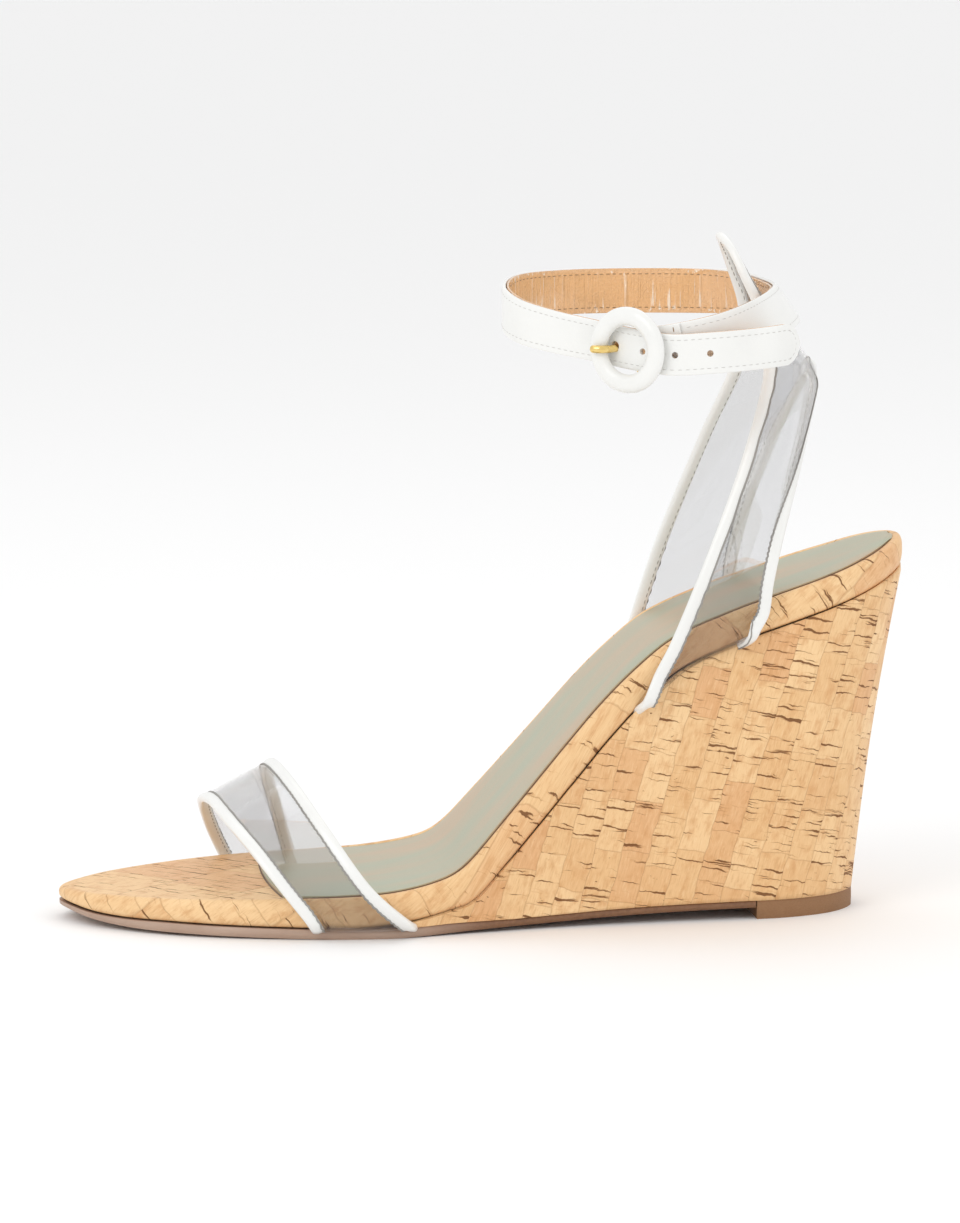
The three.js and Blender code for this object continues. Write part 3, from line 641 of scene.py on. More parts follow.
def rand_place(u, v):
    share = outline.share_at(outline.length * (u % 1))
    edge = outline.at(share)
    into = inward(share)
    rise = arch_rise * ease(-5 * mm, 30 * mm, edge.y) * ease(-60 * mm, -20 * mm, edge.x)
    top, low = seat_top(edge.x) + rand_rim + rise, bed_under(edge.x)
    a, b = rounded(v, rand_wall / 2, 0.5, 2.6)
    spot = edge + into * (rand_wall / 2 - a)
    tilt = seat_top(spot.x) - seat_top(edge.x)
    spot.z = (top + low) / 2 + b * (top - low) + tilt
    return spot


rand = skin("footbed_rand", 420, 28, rand_place, (outline.length, 0.02), tube=True, ring=True)
rechart(rand, lambda u, v, spot: (u, spot.z - seat_top(spot.x) + spot.y * 0.3))
rand_cork = cork_finish("rand_cork", 0.026, 0.02, 0.5, 0.6, math.radians(58))
finish_piece(rand, rand_cork, "sole", "cork", "footbed_rand")

# ---- Toe cover ---------------------------------------------------------------------------------
# A piece of cork sheet glued over the toe part of the footbed, inside the folded edge strip. It runs a
# little way under the sock.
sock_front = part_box("sock_lining")[0].x
toe_loop = loop_at(rand_wall / 2)
toe_cover = slab("toe_cork_cover", toe_loop, reach(toe_loop)[0], sock_front + 4 * mm,
                 lambda x: seat_top(x) + rand_rim - 0.02 * mm, lambda x: seat_top(x) - 1 * mm,
                 80, 0.3 * mm, across=30)
toe_cork = cork_finish("toe_cork", 0.026, 0.02, 1.15, 0.6, math.radians(50), chart=False)
finish_piece(toe_cover, toe_cork, "sole", "cork", "toe_cork_cover")

# ---- Sock --------------------------------------------------------------------------------------
# A metallic leather sock glued over the pad, with a dark painted edge and a row of stitches just inside
# it. Its front edge bows towards the toe.
bed_loop = loop_at(3.2 * mm)
bed_heel = reach(bed_loop)[1]
front_bow = 2.2 * mm
front_inset = 3.2 * mm       # how far the front edge's ends lie behind its foremost reach
sock_rise = 0.95 * mm        # how far the sock's edge stands over the seat
edge_line = 0.42 * mm        # radius of the edge paint


def bow(g):
    return -front_bow * (1 - g * g)


def crown(x):
    return seat_top(x) + sock_rise


def sock_place(u, v):
    g = -1 + 2 * v
    start = sock_front + front_inset + bow(g)
    t = 0.35 * u + 0.65 * math.sin(math.pi * u / 2)
    x = start + (bed_heel - start) * t
    low, high = span_at(bed_loop, x)
    y = (low + high) / 2 + g * (high - low) / 2
    hug = 0.35 * mm * (1 - abs(g) ** 8)
    return Vector((x, y, crown(x) + hug - 0.2 * mm))


sock = skin("sock_lining", 220, 56, sock_place, (0.2, 0.06), wall=-0.8 * mm)
sock_look = Finish("metallic_sock", Metallic=0.55, Specular_IOR_Level=0.5)
sock_where = sock_look.place()
# Painted sheen: wide bands of noise turn the sock's green-grey towards tan, standing for the light and shade
# of the metallic leather's sheen; the fine darker speckle is the leather's own.
painted_sheen = sock_look.noise(sock_look.place((0.6, 2.4, 1)), 30, 2)
fine = sock_look.noise(sock_where, 3200, 3)
sock_tone_and_sheen = sock_look.mix(sock_look.ramp(painted_sheen, 0.25, 0.75), srgb(178, 184, 160), srgb(204, 178, 148))
sock_look.set(sock_look.shader, {
    "Base Color": sock_look.mix(sock_look.times(fine, 0.3), sock_tone_and_sheen, srgb(150, 146, 120)),
    "Roughness": sock_look.plus(0.3, sock_look.times(fine, 0.12))})
sock_look.bump(fine, 0.00004, 0.5)
finish_piece(sock, sock_look.material, "sole", "sock_leather", "sock_lining")


def sock_line(depth, margin, lift):
    """A line round the sock, this deep inside the footbed's outline and open at the front."""
    run = opened([p for p in loop_at(depth, 420) if p.x > sock_front + margin])
    for spot in run:
        spot.z = crown(spot.x) + lift
    return Route(run[::4] + [run[-1]])


def painted_edge(name, route, rows):
    """A round line of edge paint along a route, thinner at its ends."""
    def place(u, v):
        run = route.heading(u)
        side = run.cross(Vector((0, 0, 1))).normalized()
        up = side.cross(run).normalized()
        a = 2 * math.pi * v
        taper = min(1, 30 * min(u, 1 - u) + 0.25)
        return route.at(u) + (side * math.cos(a) + up * math.sin(a)) * edge_line * taper
    finish_piece(skin(name, rows, 8, place, tube=True), edge_brown, "sole", "sock_leather")


def leather_finish(name, color, roughness, grain_scale=2600, depth=0.00006, tint=0.06, coat=0.0,
                   crease=0.0):
    """Fine pebbled leather, cloudy by its tint. A crease adds folds across it and painted pale highlights on
    the fold crests.
    """
    made = Finish(name, Specular_IOR_Level=0.5, Coat_Weight=coat, Coat_Roughness=0.12)
    where = made.place()
    cells = made.node("TexVoronoi", {"feature": "SMOOTH_F1"}, Vector=where, Scale=grain_scale)
    pebble = cells.outputs["Distance"]
    cloud = made.noise(where, 90, 3)
    dark = tuple(c * (1 - 3 * tint) for c in color)
    made.set(made.shader, {
        "Base Color": made.mix(made.ramp(cloud, 0.4, 0.8), color, dark),
        "Roughness": made.plus(roughness - 0.05, made.times(cloud, 0.12))})
    height = pebble
    if crease:
        folds = made.noise(made.place((1.0, 0.16, 1), chart=True), 900, 3, 0.6)
        height = made.plus(pebble, made.times(folds, crease))
        # Painted highlights: in patches on the fold crests, the lining's colour is lightened to near white
        # to stand for the glaze's glints.
        patches = made.ramp(made.noise(made.place(chart=True), 110, 2), 0.38, 0.58)
        painted_glints = made.times(made.ramp(folds, 0.57, 0.64), patches)
        tanned = made.shader.inputs["Base Color"].links[0].from_socket
        made.set(made.shader, {"Base Color": made.mix(painted_glints, tanned, srgb(255, 236, 214))})
    made.bump(height, depth, 0.7)
    return made.material


edge_brown = leather_finish("edge_paint_brown", srgb(112, 82, 60), 0.45)
front_edge = []
for i in range(25):
    g = -1 + i / 12
    x = sock_front + front_inset + bow(g)
    low, high = span_at(bed_loop, x)
    front_edge.append(Vector((x, (low + high) / 2 + g * (high - low) / 2, crown(x) - 0.05 * mm)))
painted_edge("sock_front_edge_paint", Route(front_edge), 80)
painted_edge("sock_edge_paint", sock_line(3.35 * mm, 3.4 * mm, -0.05 * mm), 300)


def stitch_row(name, frames, material, body, length=1.5 * mm, thick=0.3 * mm):
    """A row of thread stitches, each a small capsule sunk halfway into the leather, from the place,
    direction and face normal of each. Where body is None, the row is left without a body."""
    bm = bmesh.new()
    for place, run, up in frames:
        side = run.cross(up).normalized()
        turn = Matrix((run, side, run.cross(side))).transposed().to_4x4()
        size = Matrix.Diagonal((length / 2, thick / 2, thick / 2, 1))
        spin = Matrix.Translation(place) @ turn @ size
        bmesh.ops.create_uvsphere(bm, u_segments=6, v_segments=5, radius=1,
                                  matrix=spin @ Matrix.Rotation(math.pi / 2, 4, "Y"))
    bmesh.ops.recalc_face_normals(bm, faces=bm.faces)
    piece = new_object(name, bm, smooth=True)
    piece.data.materials.append(material)
    if body:
        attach(piece, body)
    return piece


def thread_finish(name, color):
    made = Finish(name, Roughness=0.7)
    twist = made.noise(made.place(), 5200, 2)
    made.set(made.shader, {"Base Color": made.mix(twist, color, tuple(c * 0.75 for c in color))})
    return made.material


tan_thread = thread_finish("tan_thread", srgb(150, 118, 84))

sock_seam = sock_line(5.6 * mm, 6 * mm, 0.13 * mm)
sock_pitch = 2.6 * mm
seam_frames = []
for i in range(int(sock_seam.length / sock_pitch)):
    share = sock_seam.share_at(i * sock_pitch)
    run = sock_seam.heading(share)
    level = run.cross(Vector((0, 1, 0))).normalized() if abs(run.y) < 0.7 else Vector((0, 0, 1))
    seam_frames.append((sock_seam.at(share), run, level))
stitch_row("sock_stitches", seam_frames, tan_thread, "sole")

# ---- Vamp --------------------------------------------------------------------------------------
# One strap of clear vinyl sheet over the toes, a little under a millimetre thick. Its front and rear
# edges are bound in folded white leather, and its ends are lasted in between footbed and outsole.
film = Finish("clear_vinyl", Transmission_Weight=1.0, Roughness=0.03, IOR=1.14, Coat_Weight=1.0,
              Coat_Roughness=0.03)
film.shader.inputs["Alpha"].default_value = 0.46
haze = film.noise(film.place(), 60, 2)
film.set(film.shader, {"Base Color": film.mix(haze, srgb(197, 197, 199), srgb(188, 188, 190))})
film.bump(film.noise(film.place(), 45, 1), 0.0002, 0.25)
# Grey of the zigzag strip beside each binding: painted shadow and reflection of the binding inside the clear
# sheet.
binding_shadow_grey = leather_finish("painted_binding_shadow", srgb(150, 147, 142), 0.6)
grey_thread = thread_finish("grey_thread", srgb(168, 164, 158))
white_leather = leather_finish("white_leather", srgb(235, 235, 232), 0.3, coat=0.3, tint=0.012)

film_half = 0.4 * mm
fold_width = 3.3 * mm
fold_half = 1.15 * mm
proud = 2.55 * mm            # from the footbed edge out to the middle of the sheet
seam_pitch = 1.9 * mm
tooth_pitch = 0.75 * mm      # half of a tooth of the grey zigzag strip of painted shadow
bed_outline = loop_at(0)


def P(x, y, z):
    return Vector((x, y, z)) * mm


def on_edge(x, side, z, out=proud):
    low, high = span_at(bed_outline, x * mm)
    return Vector((x * mm, low - out if side < 0 else high + out, z))


def vamp_foot(x, lift=0.0):
    return sole_upper(x * mm) + (0.45 + lift) * mm


def vamp_seam(x, side):
    """Where the upper is lasted in, between footbed and outsole."""
    return on_edge(x, side, vamp_foot(x, -0.9), -1.6 * mm)


vamp_front = Route([
    vamp_seam(-49, -1), on_edge(-50.4, -1, vamp_foot(-50.4, 1)), on_edge(-57.5, -1, 13 * mm),
    P(-64.5, -33, 22), P(-70.5, -19, 28.4), P(-73.5, 0, 30.6), P(-74.5, 16, 28), P(-72, 28, 20),
    on_edge(-67.5, 1, 10 * mm),
    on_edge(-64.4, 1, vamp_foot(-64.4, 1)), vamp_seam(-63.5, 1)])
vamp_rear = Route([
    vamp_seam(-21.3, -1), on_edge(-23, -1, vamp_foot(-23, 1)), on_edge(-33.5, -1, 13.7 * mm),
    P(-44, -32, 28), P(-50.5, -16, 37.2), P(-54, 2, 40.5), P(-54.5, 18, 37.5), P(-51.5, 31, 27),
    on_edge(-47, 1, 13 * mm),
    on_edge(-44.4, 1, vamp_foot(-44.4, 1)), vamp_seam(-43.5, 1)])


def foot_axis(p):
    return Vector((p.x, 0, 0.005))


def edge_frame(route, across, core, t):
    """Directions at one place on an edge: along it, into the sheet, and outwards from the sheet."""
    point, run = route.at(t), route.heading(t)
    over = across(t) - point
    into = (over - run * over.dot(run)).normalized()
    out = run.cross(into).normalized()
    if out.dot(point - core(point)) < 0:
        out = -out
    return point, run, into, out


def vamp_front_frame(t):
    return edge_frame(vamp_front, vamp_rear.at, foot_axis, t)


def vamp_rear_frame(t):
    return edge_frame(vamp_rear, vamp_front.at, foot_axis, t)


def bound_edge(label, frames, route, rows):
    """A leather strip folded over an edge of the clear sheet: round on the fold, thin on its two cut
    edges, with a row of stitches inside and, outside, a fine grey zigzag strip of painted shadow and
    reflection of the binding in the sheet."""
    def strip(u, v):
        point, run, into, out = frames(u)
        a, b = rounded(v, fold_width / 2, fold_half, 3.2)
        thin = 1 - 0.35 * ease(-0.2, 1, a / (fold_width / 2))
        return point + into * (a + fold_width / 2) + out * b * thin

    def shadow_zigzag(u, v):
        point, run, into, out = frames(u)
        steps = route.distance_to(point) / tooth_pitch
        zigzag = abs(steps % 2 - 1) - 0.5
        a = 2 * math.pi * v
        return (point + into * (fold_width - 0.1 * mm + zigzag * 0.35 * mm + math.cos(a) * 0.28 * mm)
                + out * (0.62 * mm + math.sin(a) * 0.2 * mm))
    node = label + "_binding"
    fold = skin(node, rows, 20, strip, (0.2, 0.01), tube=True)
    finish_piece(fold, white_leather, "sole", "white_leather", node)
    # The grey zigzag strip is painted shadow and reflection of the binding inside the clear sheet.
    binding_shadow_strip = skin(label + "_binding_shadow_strip", int(route.length / (0.4 * mm)), 6, shadow_zigzag, (0.2, 0.002), tube=True)
    finish_piece(binding_shadow_strip, binding_shadow_grey, "sole", "white_leather")
    stitches = []
    for i in range(1, int(route.length / seam_pitch)):
        point, run, into, out = frames(route.share_at(i * seam_pitch))
        stitches.append((point + into * (fold_width - 0.75 * mm) - out * 0.86 * mm, run, out))
    stitch_row(label + "_stitches_inside", stitches, grey_thread, "sole",
               1.25 * mm, 0.26 * mm)


def vamp_sheet(u, v):
    a, b = vamp_front_frame(u), vamp_rear_frame(u)
    near = a[0] + a[2] * mm
    far = b[0] + b[2] * mm
    out = a[3].lerp(b[3], v).normalized()
    belly = 0.5 * mm * math.sin(math.pi * v)
    flat = near.lerp(far, v) + out * belly
    side = -1 if u < 0.5 else 1
    ends = (-49, -21.3) if u < 0.5 else (-63.5, -43.5)
    hem = vamp_seam(ends[0] + (ends[1] - ends[0]) * v, side)
    end = 0 if u < 0.5 else 1
    start = vamp_front.at(end).lerp(vamp_rear.at(end), v)
    return flat + (hem - start) * (1 - ease(0, 0.2, min(u, 1 - u)))


def clear_panel(name, rows, columns, place):
    piece = skin(name, rows, columns, place, (0.2, 0.03))
    wall = piece.modifiers.new("sheet_thickness", "SOLIDIFY")
    wall.thickness = film_half * 2
    wall.offset = 0
    finish_piece(piece, film.material, "sole", "clear_film", name)


clear_panel("vamp_panel", 140, 24, vamp_sheet)
bound_edge("vamp_front", vamp_front_frame, vamp_front, 160)
bound_edge("vamp_rear", vamp_rear_frame, vamp_rear, 160)

# ---- Quarter -----------------------------------------------------------------------------------
# One clear vinyl sheet with two legs, which are lasted in between footbed and wedge, and a tab that
# stands up behind the ankle. It is bound like the vamp, and the ankle strap is sewn across its tab.
def quarter_foot(x, lift=0.0):
    return bed_under(x * mm) + (0.3 + lift) * mm


def quarter_seam(x, side):
    """Where the upper is lasted in, between footbed and wedge."""
    return on_edge(x, side, quarter_foot(x, -0.9), -1.6 * mm)


def front_leg(side):
    return [quarter_seam(36.6, side), on_edge(38, side, quarter_foot(38, 0.6)),
            on_edge(41.3, side, quarter_foot(41.3, 5.2))]


def rear_leg(side):
    return [quarter_seam(66.4, side), on_edge(68.8, side, quarter_foot(68.8, 0.6)),
            on_edge(71.8, side, quarter_foot(71.8, 4.2))]


quarter_front = Route(front_leg(-1) + [
    P(45.5, -31.6, 75), P(54, -30, 94.6), P(66, -24, 124), P(72.5, -17, 147), P(71.5, -13.6, 159),
    P(67.5, -11.4, 170), P(64.5, -7, 177.6), P(62.7, 0, 180.3), P(64.5, 7, 177.6), P(67.5, 11.4, 170),
    P(70.5, 13.6, 159), P(69.5, 16.5, 145), P(62, 23.5, 124), P(50.5, 28.6, 94.6), P(44, 29, 75)]
    + front_leg(1)[::-1])
arch_top = P(88.6, 0, 144)
quarter_rear = Route(rear_leg(-1) + [
    P(73.3, -29, 90), P(76.5, -26, 103), P(82.8, -17, 126), arch_top, P(82.5, 17, 126), P(76, 25.8, 103),
    P(73, 28, 90)] + rear_leg(1)[::-1])
tab_top = quarter_front.at(0.5)
leg_part = 0.3               # share of the front edge that belongs to each leg


def tab_share(t):
    return (min(t, 1 - t) - leg_part) / (0.5 - leg_part)


def tab_middle(s):
    return arch_top.lerp(tab_top, s)


def rear_share(t):
    """The rear edge's share across from a share of the front edge."""
    return t / leg_part / 2 if t < 0.5 else 1 - (1 - t) / leg_part / 2


def rear_of(t):
    if tab_share(t) <= 0:
        return quarter_rear.at(rear_share(t))
    return tab_middle(tab_share(t))


def crossing_control(t):
    front, rear = quarter_front.at(t), rear_of(t)
    round_back = rear + Vector((0, front.y * 0.8, 0))
    bend = ease(0.18, leg_part, min(t, 1 - t)) * (1 - 0.8 * ease(0, 0.6, tab_share(t)))
    return front.lerp(rear, 0.5).lerp(round_back, bend)


def across_front(t):
    return tab_middle(0.7) if abs(t - 0.5) < 0.02 else crossing_control(t)


def across_rear(u):
    control = crossing_control(u * leg_part * 2 if u < 0.5 else 1 - (1 - u) * leg_part * 2)
    return control.lerp(tab_middle(0.5), ease(0.46, 0.5, 0.5 - abs(u - 0.5)))


def ankle_axis(p):
    return Vector((0.05, 0, p.z))


def front_frame(t):
    return edge_frame(quarter_front, across_front, ankle_axis, t)


def rear_frame(t):
    return edge_frame(quarter_rear, across_rear, ankle_axis, t)


def quarter_sheet(t, v):
    """t runs from one leg's foot over the back to the other; v from the front edge to the rear."""
    point, run, into, out = front_frame(t)
    near = point + into * mm
    if tab_share(t) <= 0:
        r = rear_frame(rear_share(t))
        far = r[0] + r[2] * mm
    else:
        far = tab_middle(0.03 + tab_share(t) * 0.92)
    control = near.lerp(far, 0.5) + crossing_control(t) - quarter_front.at(t).lerp(rear_of(t), 0.5)
    flat = near * (1 - v) ** 2 + control * (2 * v * (1 - v)) + far * v * v
    side, end = (-1, 0) if t < 0.5 else (1, 1)
    hem = quarter_seam(36.6 + (66.4 - 36.6) * v, side)
    start = quarter_front.at(end).lerp(quarter_rear.at(end), v)
    return flat + (hem - start) * (1 - ease(0, 0.17, min(t, 1 - t)))


clear_panel("quarter_panel", 280, 20, quarter_sheet)
bound_edge("quarter_front", front_frame, quarter_front, 300)
bound_edge("quarter_rear", rear_frame, quarter_rear, 180)

# ---- Ankle strap -------------------------------------------------------------------------------
# White leather strap lined with glazed tan leather, 12 mm wide, stitched 1.5 mm from both edges. It
# starts at the back of the quarter, goes round the ankle and comes out under the buckle's ring.
bar_place = P(37.9, -32.8, 153.3)
long_route = Route([
    P(79.6, 0, 161.2), P(79.4, 4, 161.3), P(76, 15.5, 161.8), P(65, 25, 162.3), P(45, 29.5, 162.4),
    P(24, 26, 162.4), P(11.5, 14.5, 162.2), P(7.3, 0, 160.4), P(10, -11, 158.3), P(17, -18.7, 156.5),
    P(27.7, -26.9, 154.6), P(35.7, -35.1, 153.3), P(44.3, -41.7, 152.4), P(53, -43.8, 152.9),
    P(62, -43.4, 153.5), P(70.3, -40, 154), P(77.6, -34.2, 154.4)])
strap_half = 6 * mm
strap_tip_half = 5.35 * mm
lining_thick = 0.7 * mm
leather_thick = 1.1 * mm
ply_face = lining_thick + 0.1 * mm
over_bar = long_route.distance_to(bar_place + P(-2.2, -2.3, 0))


def strap_frame(route, distance, leaning):
    share = route.share_at(distance)
    point, run = route.at(share), route.heading(share)
    lean = 0.7 * ease(0.052, 0.078, point.x) if leaning else 0
    up = Vector((-lean, 0, 1))
    up = (up - run * up.dot(run)).normalized()
    out = run.cross(up).normalized()
    if out.dot(point - ankle_axis(point)) < 0:
        out = -out
    return point, run, out, up


def long_frame(d):
    distance = over_bar + d
    return strap_frame(long_route, distance, distance < long_route.length / 2)


tip_end = long_route.length - over_bar


def plain_width(d):
    """Half of the strap's width, which narrows towards the buckle."""
    return strap_half + (strap_tip_half - strap_half) * ease(-60 * mm, -10 * mm, d)


def strap_ply(name, frames, start, end, inner, thick, rows, width, puff=0.12 * mm):
    def place(u, v):
        d = start + (end - start) * u
        point, run, out, up = frames(d)
        a, b = rounded(v, 1, 1, 9)
        half = width(d)
        soft = 1 - 0.12 * abs(a) ** 10
        crowned = puff * (1 - a * a) * (1 if b > 0 else 0)
        return point + up * a * half + out * (inner + thick / 2 + b * soft * thick / 2 + crowned)
    return skin(name, rows, 36, place, (end - start, 0.036), tube=True)


def two_plies(name, frames, start, end, rows, width):
    """White leather outside and tan lining inside."""
    return (strap_ply(name, frames, start, end, ply_face, leather_thick, rows, width),
            strap_ply(name + "_lining", frames, start, end, 0, lining_thick, rows, width, 0))


tan_lining = leather_finish("glazed_tan_lining", srgb(238, 186, 132), 0.24, 1800, 0.0004, 0.04,
                            coat=1.0, crease=4.0)
first_hole, hole_pitch = -5.1 * mm, 8.6 * mm
hole_places = [first_hole + i * hole_pitch for i in range(4)]


def punch(piece, reach_start, reach_end):
    """Cuts the round holes that fall on this stretch of the strap."""
    bm = bmesh.new()
    for i, d in enumerate(hole_places):
        if reach_start < d < reach_end:
            point, run, out, up = long_frame(d)
            turn = Matrix((run, up, out)).transposed().to_4x4()
            radius = (1.3 if i == 0 else 0.85) * mm
            bmesh.ops.create_cone(bm, cap_ends=True, segments=24, radius1=radius, radius2=radius,
                                  depth=12 * mm, matrix=Matrix.Translation(point) @ turn)
    bmesh.ops.recalc_face_normals(bm, faces=bm.faces)
    tool = new_object("punch", bm)
    cutter = piece.modifiers.new("holes", "BOOLEAN")
    cutter.operation = "DIFFERENCE"
    cutter.object = tool
    cutter.solver = "EXACT"
    bpy.context.view_layer.update()
    shaped = bpy.data.meshes.new_from_object(piece.evaluated_get(bpy.context.evaluated_depsgraph_get()))
    piece.modifiers.clear()
    piece.data = shaped
    bpy.data.objects.remove(tool)


under_ring = 8.8 * mm        # where the long strap's two stretches meet, hidden under the buckle's band
long_start = 0.3 * mm - over_bar
strap_leather, strap_lining = two_plies(
    "ankle_strap", long_frame, long_start, under_ring, 260, plain_width)
punch(strap_leather, long_start, under_ring)
finish_piece(strap_leather, white_leather, "ankle_strap_set", "white_leather", "ankle_strap")
finish_piece(strap_lining, tan_lining, "ankle_strap_set", "tan_lining", "ankle_strap_lining")

stitch_pitch = 1.75 * mm
edge_gap = 1.5 * mm
face_out = ply_face + leather_thick + 0.05 * mm


def strap_stitches(frames, start, end, width, offset, stop=math.inf):
    """Two rows along a strap, which may stop before its end."""
    rows = []
    for side in (-1, 1):
        for i in range(int((end - start) / stitch_pitch)):
            d = start + (i + 0.5) * stitch_pitch
            if d <= stop:
                point, run, out, up = frames(d)
                rows.append((point + up * side * (width(d) - edge_gap) + out * offset, run, out))
    return rows


def white_stitches(name, rows, body):
    return stitch_row(name, rows, white_thread, body, 1.15 * mm, 0.17 * mm)


white_thread = thread_finish("white_thread", srgb(206, 204, 199))
outer_rows = strap_stitches(long_frame, long_start, under_ring, plain_width, face_out)
white_stitches("ankle_strap_stitches", outer_rows, "ankle_strap_set")
lining_rows = strap_stitches(long_frame, long_start, under_ring, plain_width, -0.02 * mm)
stitch_row("ankle_strap_lining_stitches", lining_rows, tan_thread, "ankle_strap_set",
           1.1 * mm, 0.2 * mm)

# ---- Strap tip ---------------------------------------------------------------------------------
# The free end of the strap past the buckle, punched with the spare holes.
tip_round = 5.6 * mm


def long_width(d):
    """Half of the width of the strap, whose end is round."""
    left = min(tip_end - d, tip_round)
    return plain_width(d) * math.sqrt(max(1 - ((tip_round - left) / tip_round) ** 2, 0.0004))


tip_leather, tip_lining = two_plies("strap_tip", long_frame, under_ring, tip_end, 90, long_width)
punch(tip_leather, under_ring, tip_end)
punch(tip_lining, under_ring, tip_end)
finish_piece(tip_leather, white_leather, None, "white_leather", "strap_tip")
finish_piece(tip_lining, tan_lining, None, "tan_lining", "strap_tip_lining")

tip_rows = strap_stitches(long_frame, under_ring, tip_end, long_width, face_out, tip_end - tip_round * 0.6)
seam_half = strap_tip_half - edge_gap
for i in range(7):
    angle = math.radians(-66 + 22 * i)
    point, run, out, up = long_frame(tip_end - tip_round + seam_half * math.cos(angle))
    around = (run * -math.sin(angle) + up * math.cos(angle)).normalized()
    tip_rows.append((point + up * seam_half * math.sin(angle) + out * face_out, around, out))
tip_stitches = white_stitches("strap_tip_stitches", tip_rows, None)

flex_from = long_frame(13 * mm)[0]
flex_to = long_frame(18 * mm)[0]
for piece in (tip_leather, tip_lining, tip_stitches):
    tuple(flex_from)
    tuple(flex_to)
    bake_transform(piece)

# ---- Buckle strap ------------------------------------------------------------------------------
# The short strap that holds the buckle, sewn to the back of the quarter like the long one. Its front
# end is folded round the buckle's bar and sewn down with a cross stitch.
short_route = Route([
    bar_place, P(44.3, -37.9, 154.4), P(51.5, -39.8, 155.9), P(59.5, -37.5, 157.5), P(67.5, -30.5, 159),
    P(74.8, -18.5, 160.3), P(79.2, -5, 161.1), P(79.6, 0, 161.2)])


def short_frame(d):
    return strap_frame(short_route, d, True)


def short_width(d):
    return plain_width(-10 * mm - d)


short_start = 1.2 * mm
short_end = short_route.length - 0.3 * mm
short_leather, short_lining = two_plies(
    "buckle_strap", short_frame, short_start, short_end, 110, short_width)
finish_piece(short_leather, white_leather, "ankle_strap_set", "white_leather", "buckle_strap")
finish_piece(short_lining, tan_lining, "ankle_strap_set", "tan_lining", "buckle_strap_lining")
fold_end = 12.2 * mm
fold_over = strap_ply("buckle_strap_fold", short_frame, short_start, fold_end,
                      ply_face + leather_thick + 0.1 * mm, 0.8 * mm, 30, short_width)
finish_piece(fold_over, white_leather, "ankle_strap_set", "white_leather")
cross = []
for i in range(-2, 3):
    point, run, out, up = short_frame(fold_end - 1.6 * mm)
    cross.append((point + up * i * 2.0 * mm + out * (ply_face + leather_thick + 0.95 * mm), up, out))
stitch_row("fold_cross_stitches", cross, tan_thread, "ankle_strap_set", 1.4 * mm, 0.3 * mm)
short_rows = strap_stitches(short_frame, fold_end + 1 * mm, short_end, short_width, face_out)
white_stitches("buckle_strap_stitches", short_rows, "ankle_strap_set")

# ---- Buckle ------------------------------------------------------------------------------------
# A metal ring with a centre bar, wrapped in white leather. The gold prong turns on the bar, comes up
# through the strap's first hole and rests on the ring's front side.
bar_out = strap_frame(long_route, over_bar, False)[2]
bar_out = Vector((bar_out.x, bar_out.y, 0)).normalized()
bar_back = Vector((0, 0, 1)).cross(bar_out).normalized()
ring_radius = 8.8 * mm
ring_band = 4.9 * mm
ring_thick = 3.6 * mm
cover_low, cover_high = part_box("buckle_cover")
ring_centre = (cover_low + cover_high) / 2
buckle_axes = Matrix((bar_back, Vector((0, 0, 1)), bar_out)).transposed().to_4x4()

bm = bmesh.new()
bmesh.ops.create_circle(bm, segments=36, radius=1)
for v in bm.verts:
    a, b = v.co.x, v.co.y
    puff = 1.0 if b > 0 else 0.75
    v.co = Vector((ring_radius + a * ring_band / 2, 0, b * ring_thick / 2 * puff))
bmesh.ops.spin(bm, geom=bm.verts[:] + bm.edges[:], cent=(0, 0, 0), axis=(0, 0, 1), angle=2 * math.pi,
               steps=120, use_merge=True)
bmesh.ops.recalc_face_normals(bm, faces=bm.faces)
bm.transform(Matrix.Translation(ring_centre) @ buckle_axes)
buckle_cover = new_object("buckle_cover", bm, smooth=True)
finish_piece(buckle_cover, white_leather, "ankle_strap_set", "white_leather", "buckle_cover")

gold = Finish("polished_gold", Metallic=1.0)
gold_noise = gold.noise(gold.place(), 700, 3)
gold.set(gold.shader, {
    "Base Color": gold.mix(gold_noise, srgb(243, 214, 142), srgb(228, 194, 118)),
    "Roughness": gold.plus(0.16, gold.times(gold_noise, 0.1))})
gold.bump(gold_noise, 0.00003, 0.4)


def in_buckle(back, out):
    """Place on the prong, in millimetres behind the ring's middle and out from the bar."""
    return ring_centre + bar_back * back * mm + bar_out * (out - ring_out) * mm


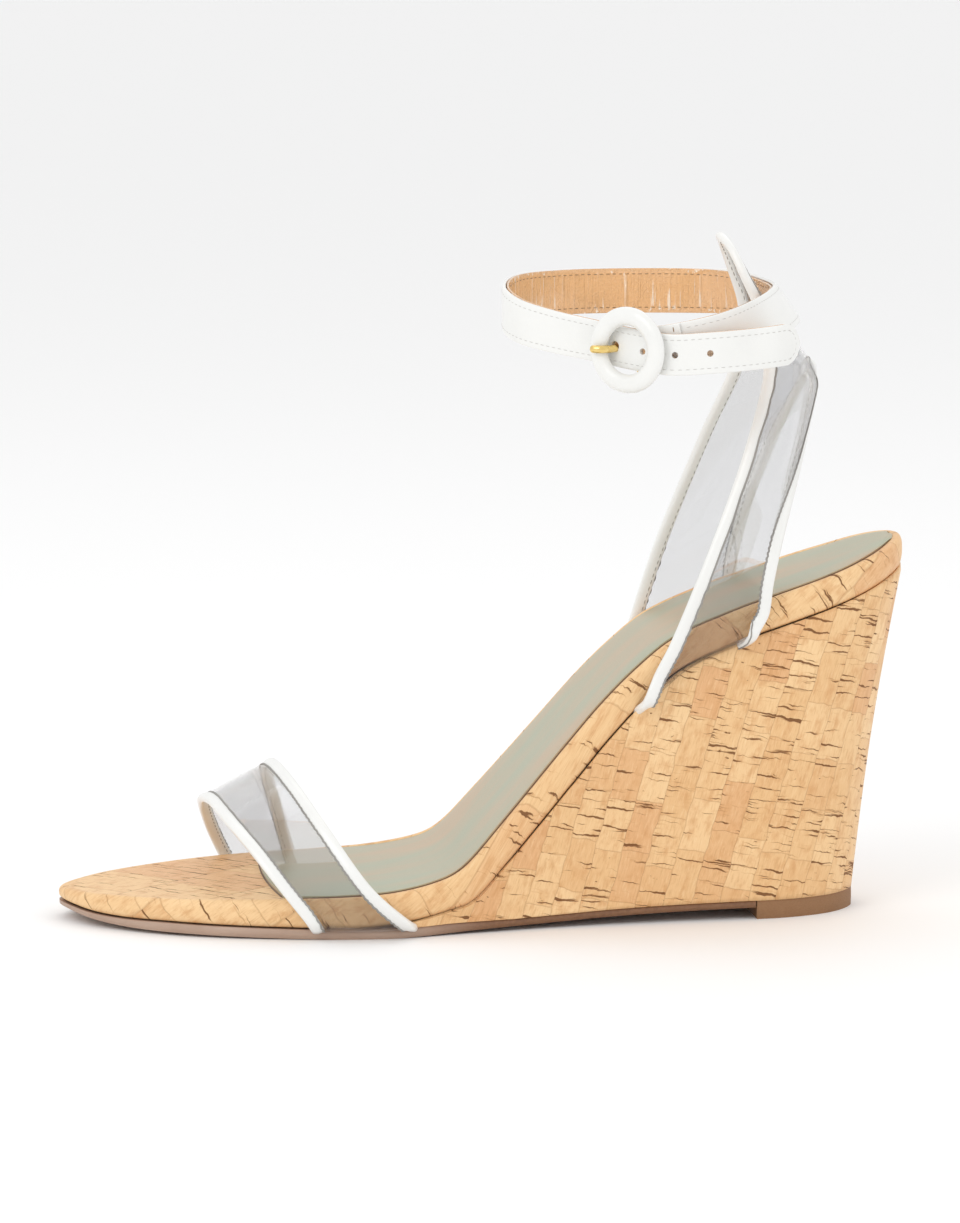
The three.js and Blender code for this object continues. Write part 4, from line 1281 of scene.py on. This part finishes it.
ring_out = (ring_centre - bar_place).dot(bar_out) / mm
prong_rise = ring_out + 2.9  # clear of the cover's front
prong_radius = 0.88 * mm
prong_route = Route([in_buckle(back, out) for back, out in (
    (-1.2, 1.5), (-3, 1.5), (-4.5, 2.3), (-5.1, 3.9), (-5.2, 6.4), (-5.5, 8.1), (-6.7, prong_rise - 0.5),
    (-8.2, prong_rise), (-9.6, prong_rise - 0.1))])


def prong_place(u, v):
    run = prong_route.heading(u)
    side = Vector((0, 0, 1))
    up = side.cross(run).normalized()
    a = 2 * math.pi * v
    end = max(min(u, 1 - u) * 14, 0)
    radius = prong_radius * math.sqrt(max(1 - (1 - min(end, 1)) ** 2, 0.01))
    return prong_route.at(u) + (side * math.cos(a) * 1.15 + up * math.sin(a)) * radius


prong = skin("buckle_prong", 90, 20, prong_place, tube=True)
finish_piece(prong, gold.material, "prong", "gold_metal", "buckle_prong")

# ---- Hidden pieces -----------------------------------------------------------------------------
# The inner layers keep their CAD shapes: board, pad, shank, core, nails, pins and the ring's frame.
def inner_finish(name, color, roughness, metallic, scale):
    made = Finish(name, Metallic=metallic)
    speck = made.noise(made.place(), scale, 4)
    made.set(made.shader, {
        "Base Color": made.mix(speck, color, tuple(c * 0.7 for c in color)),
        "Roughness": made.plus(roughness, made.times(speck, 0.15))})
    made.bump(speck, 0.0001, 0.5)
    return made.material


inner_looks = {
    "wedge_core": inner_finish("moulded_core", srgb(206, 178, 134), 0.6, 0, 700),
    "insole_board": inner_finish("fibreboard", srgb(150, 128, 98), 0.75, 0, 1800),
    "footbed_pad": inner_finish("latex_foam", srgb(222, 214, 196), 0.8, 0, 2400),
    "shank": inner_finish("spring_steel", srgb(165, 167, 170), 0.3, 1, 900),
    "buckle_frame": gold.material,
}
for node in ("heel_nail_1", "heel_nail_2", "heel_nail_3", "top_piece_pin_1", "top_piece_pin_2"):
    inner_looks[node] = inner_looks["shank"]
for node, look in inner_looks.items():
    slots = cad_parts[node].data.materials
    slots.clear()
    slots.append(look)
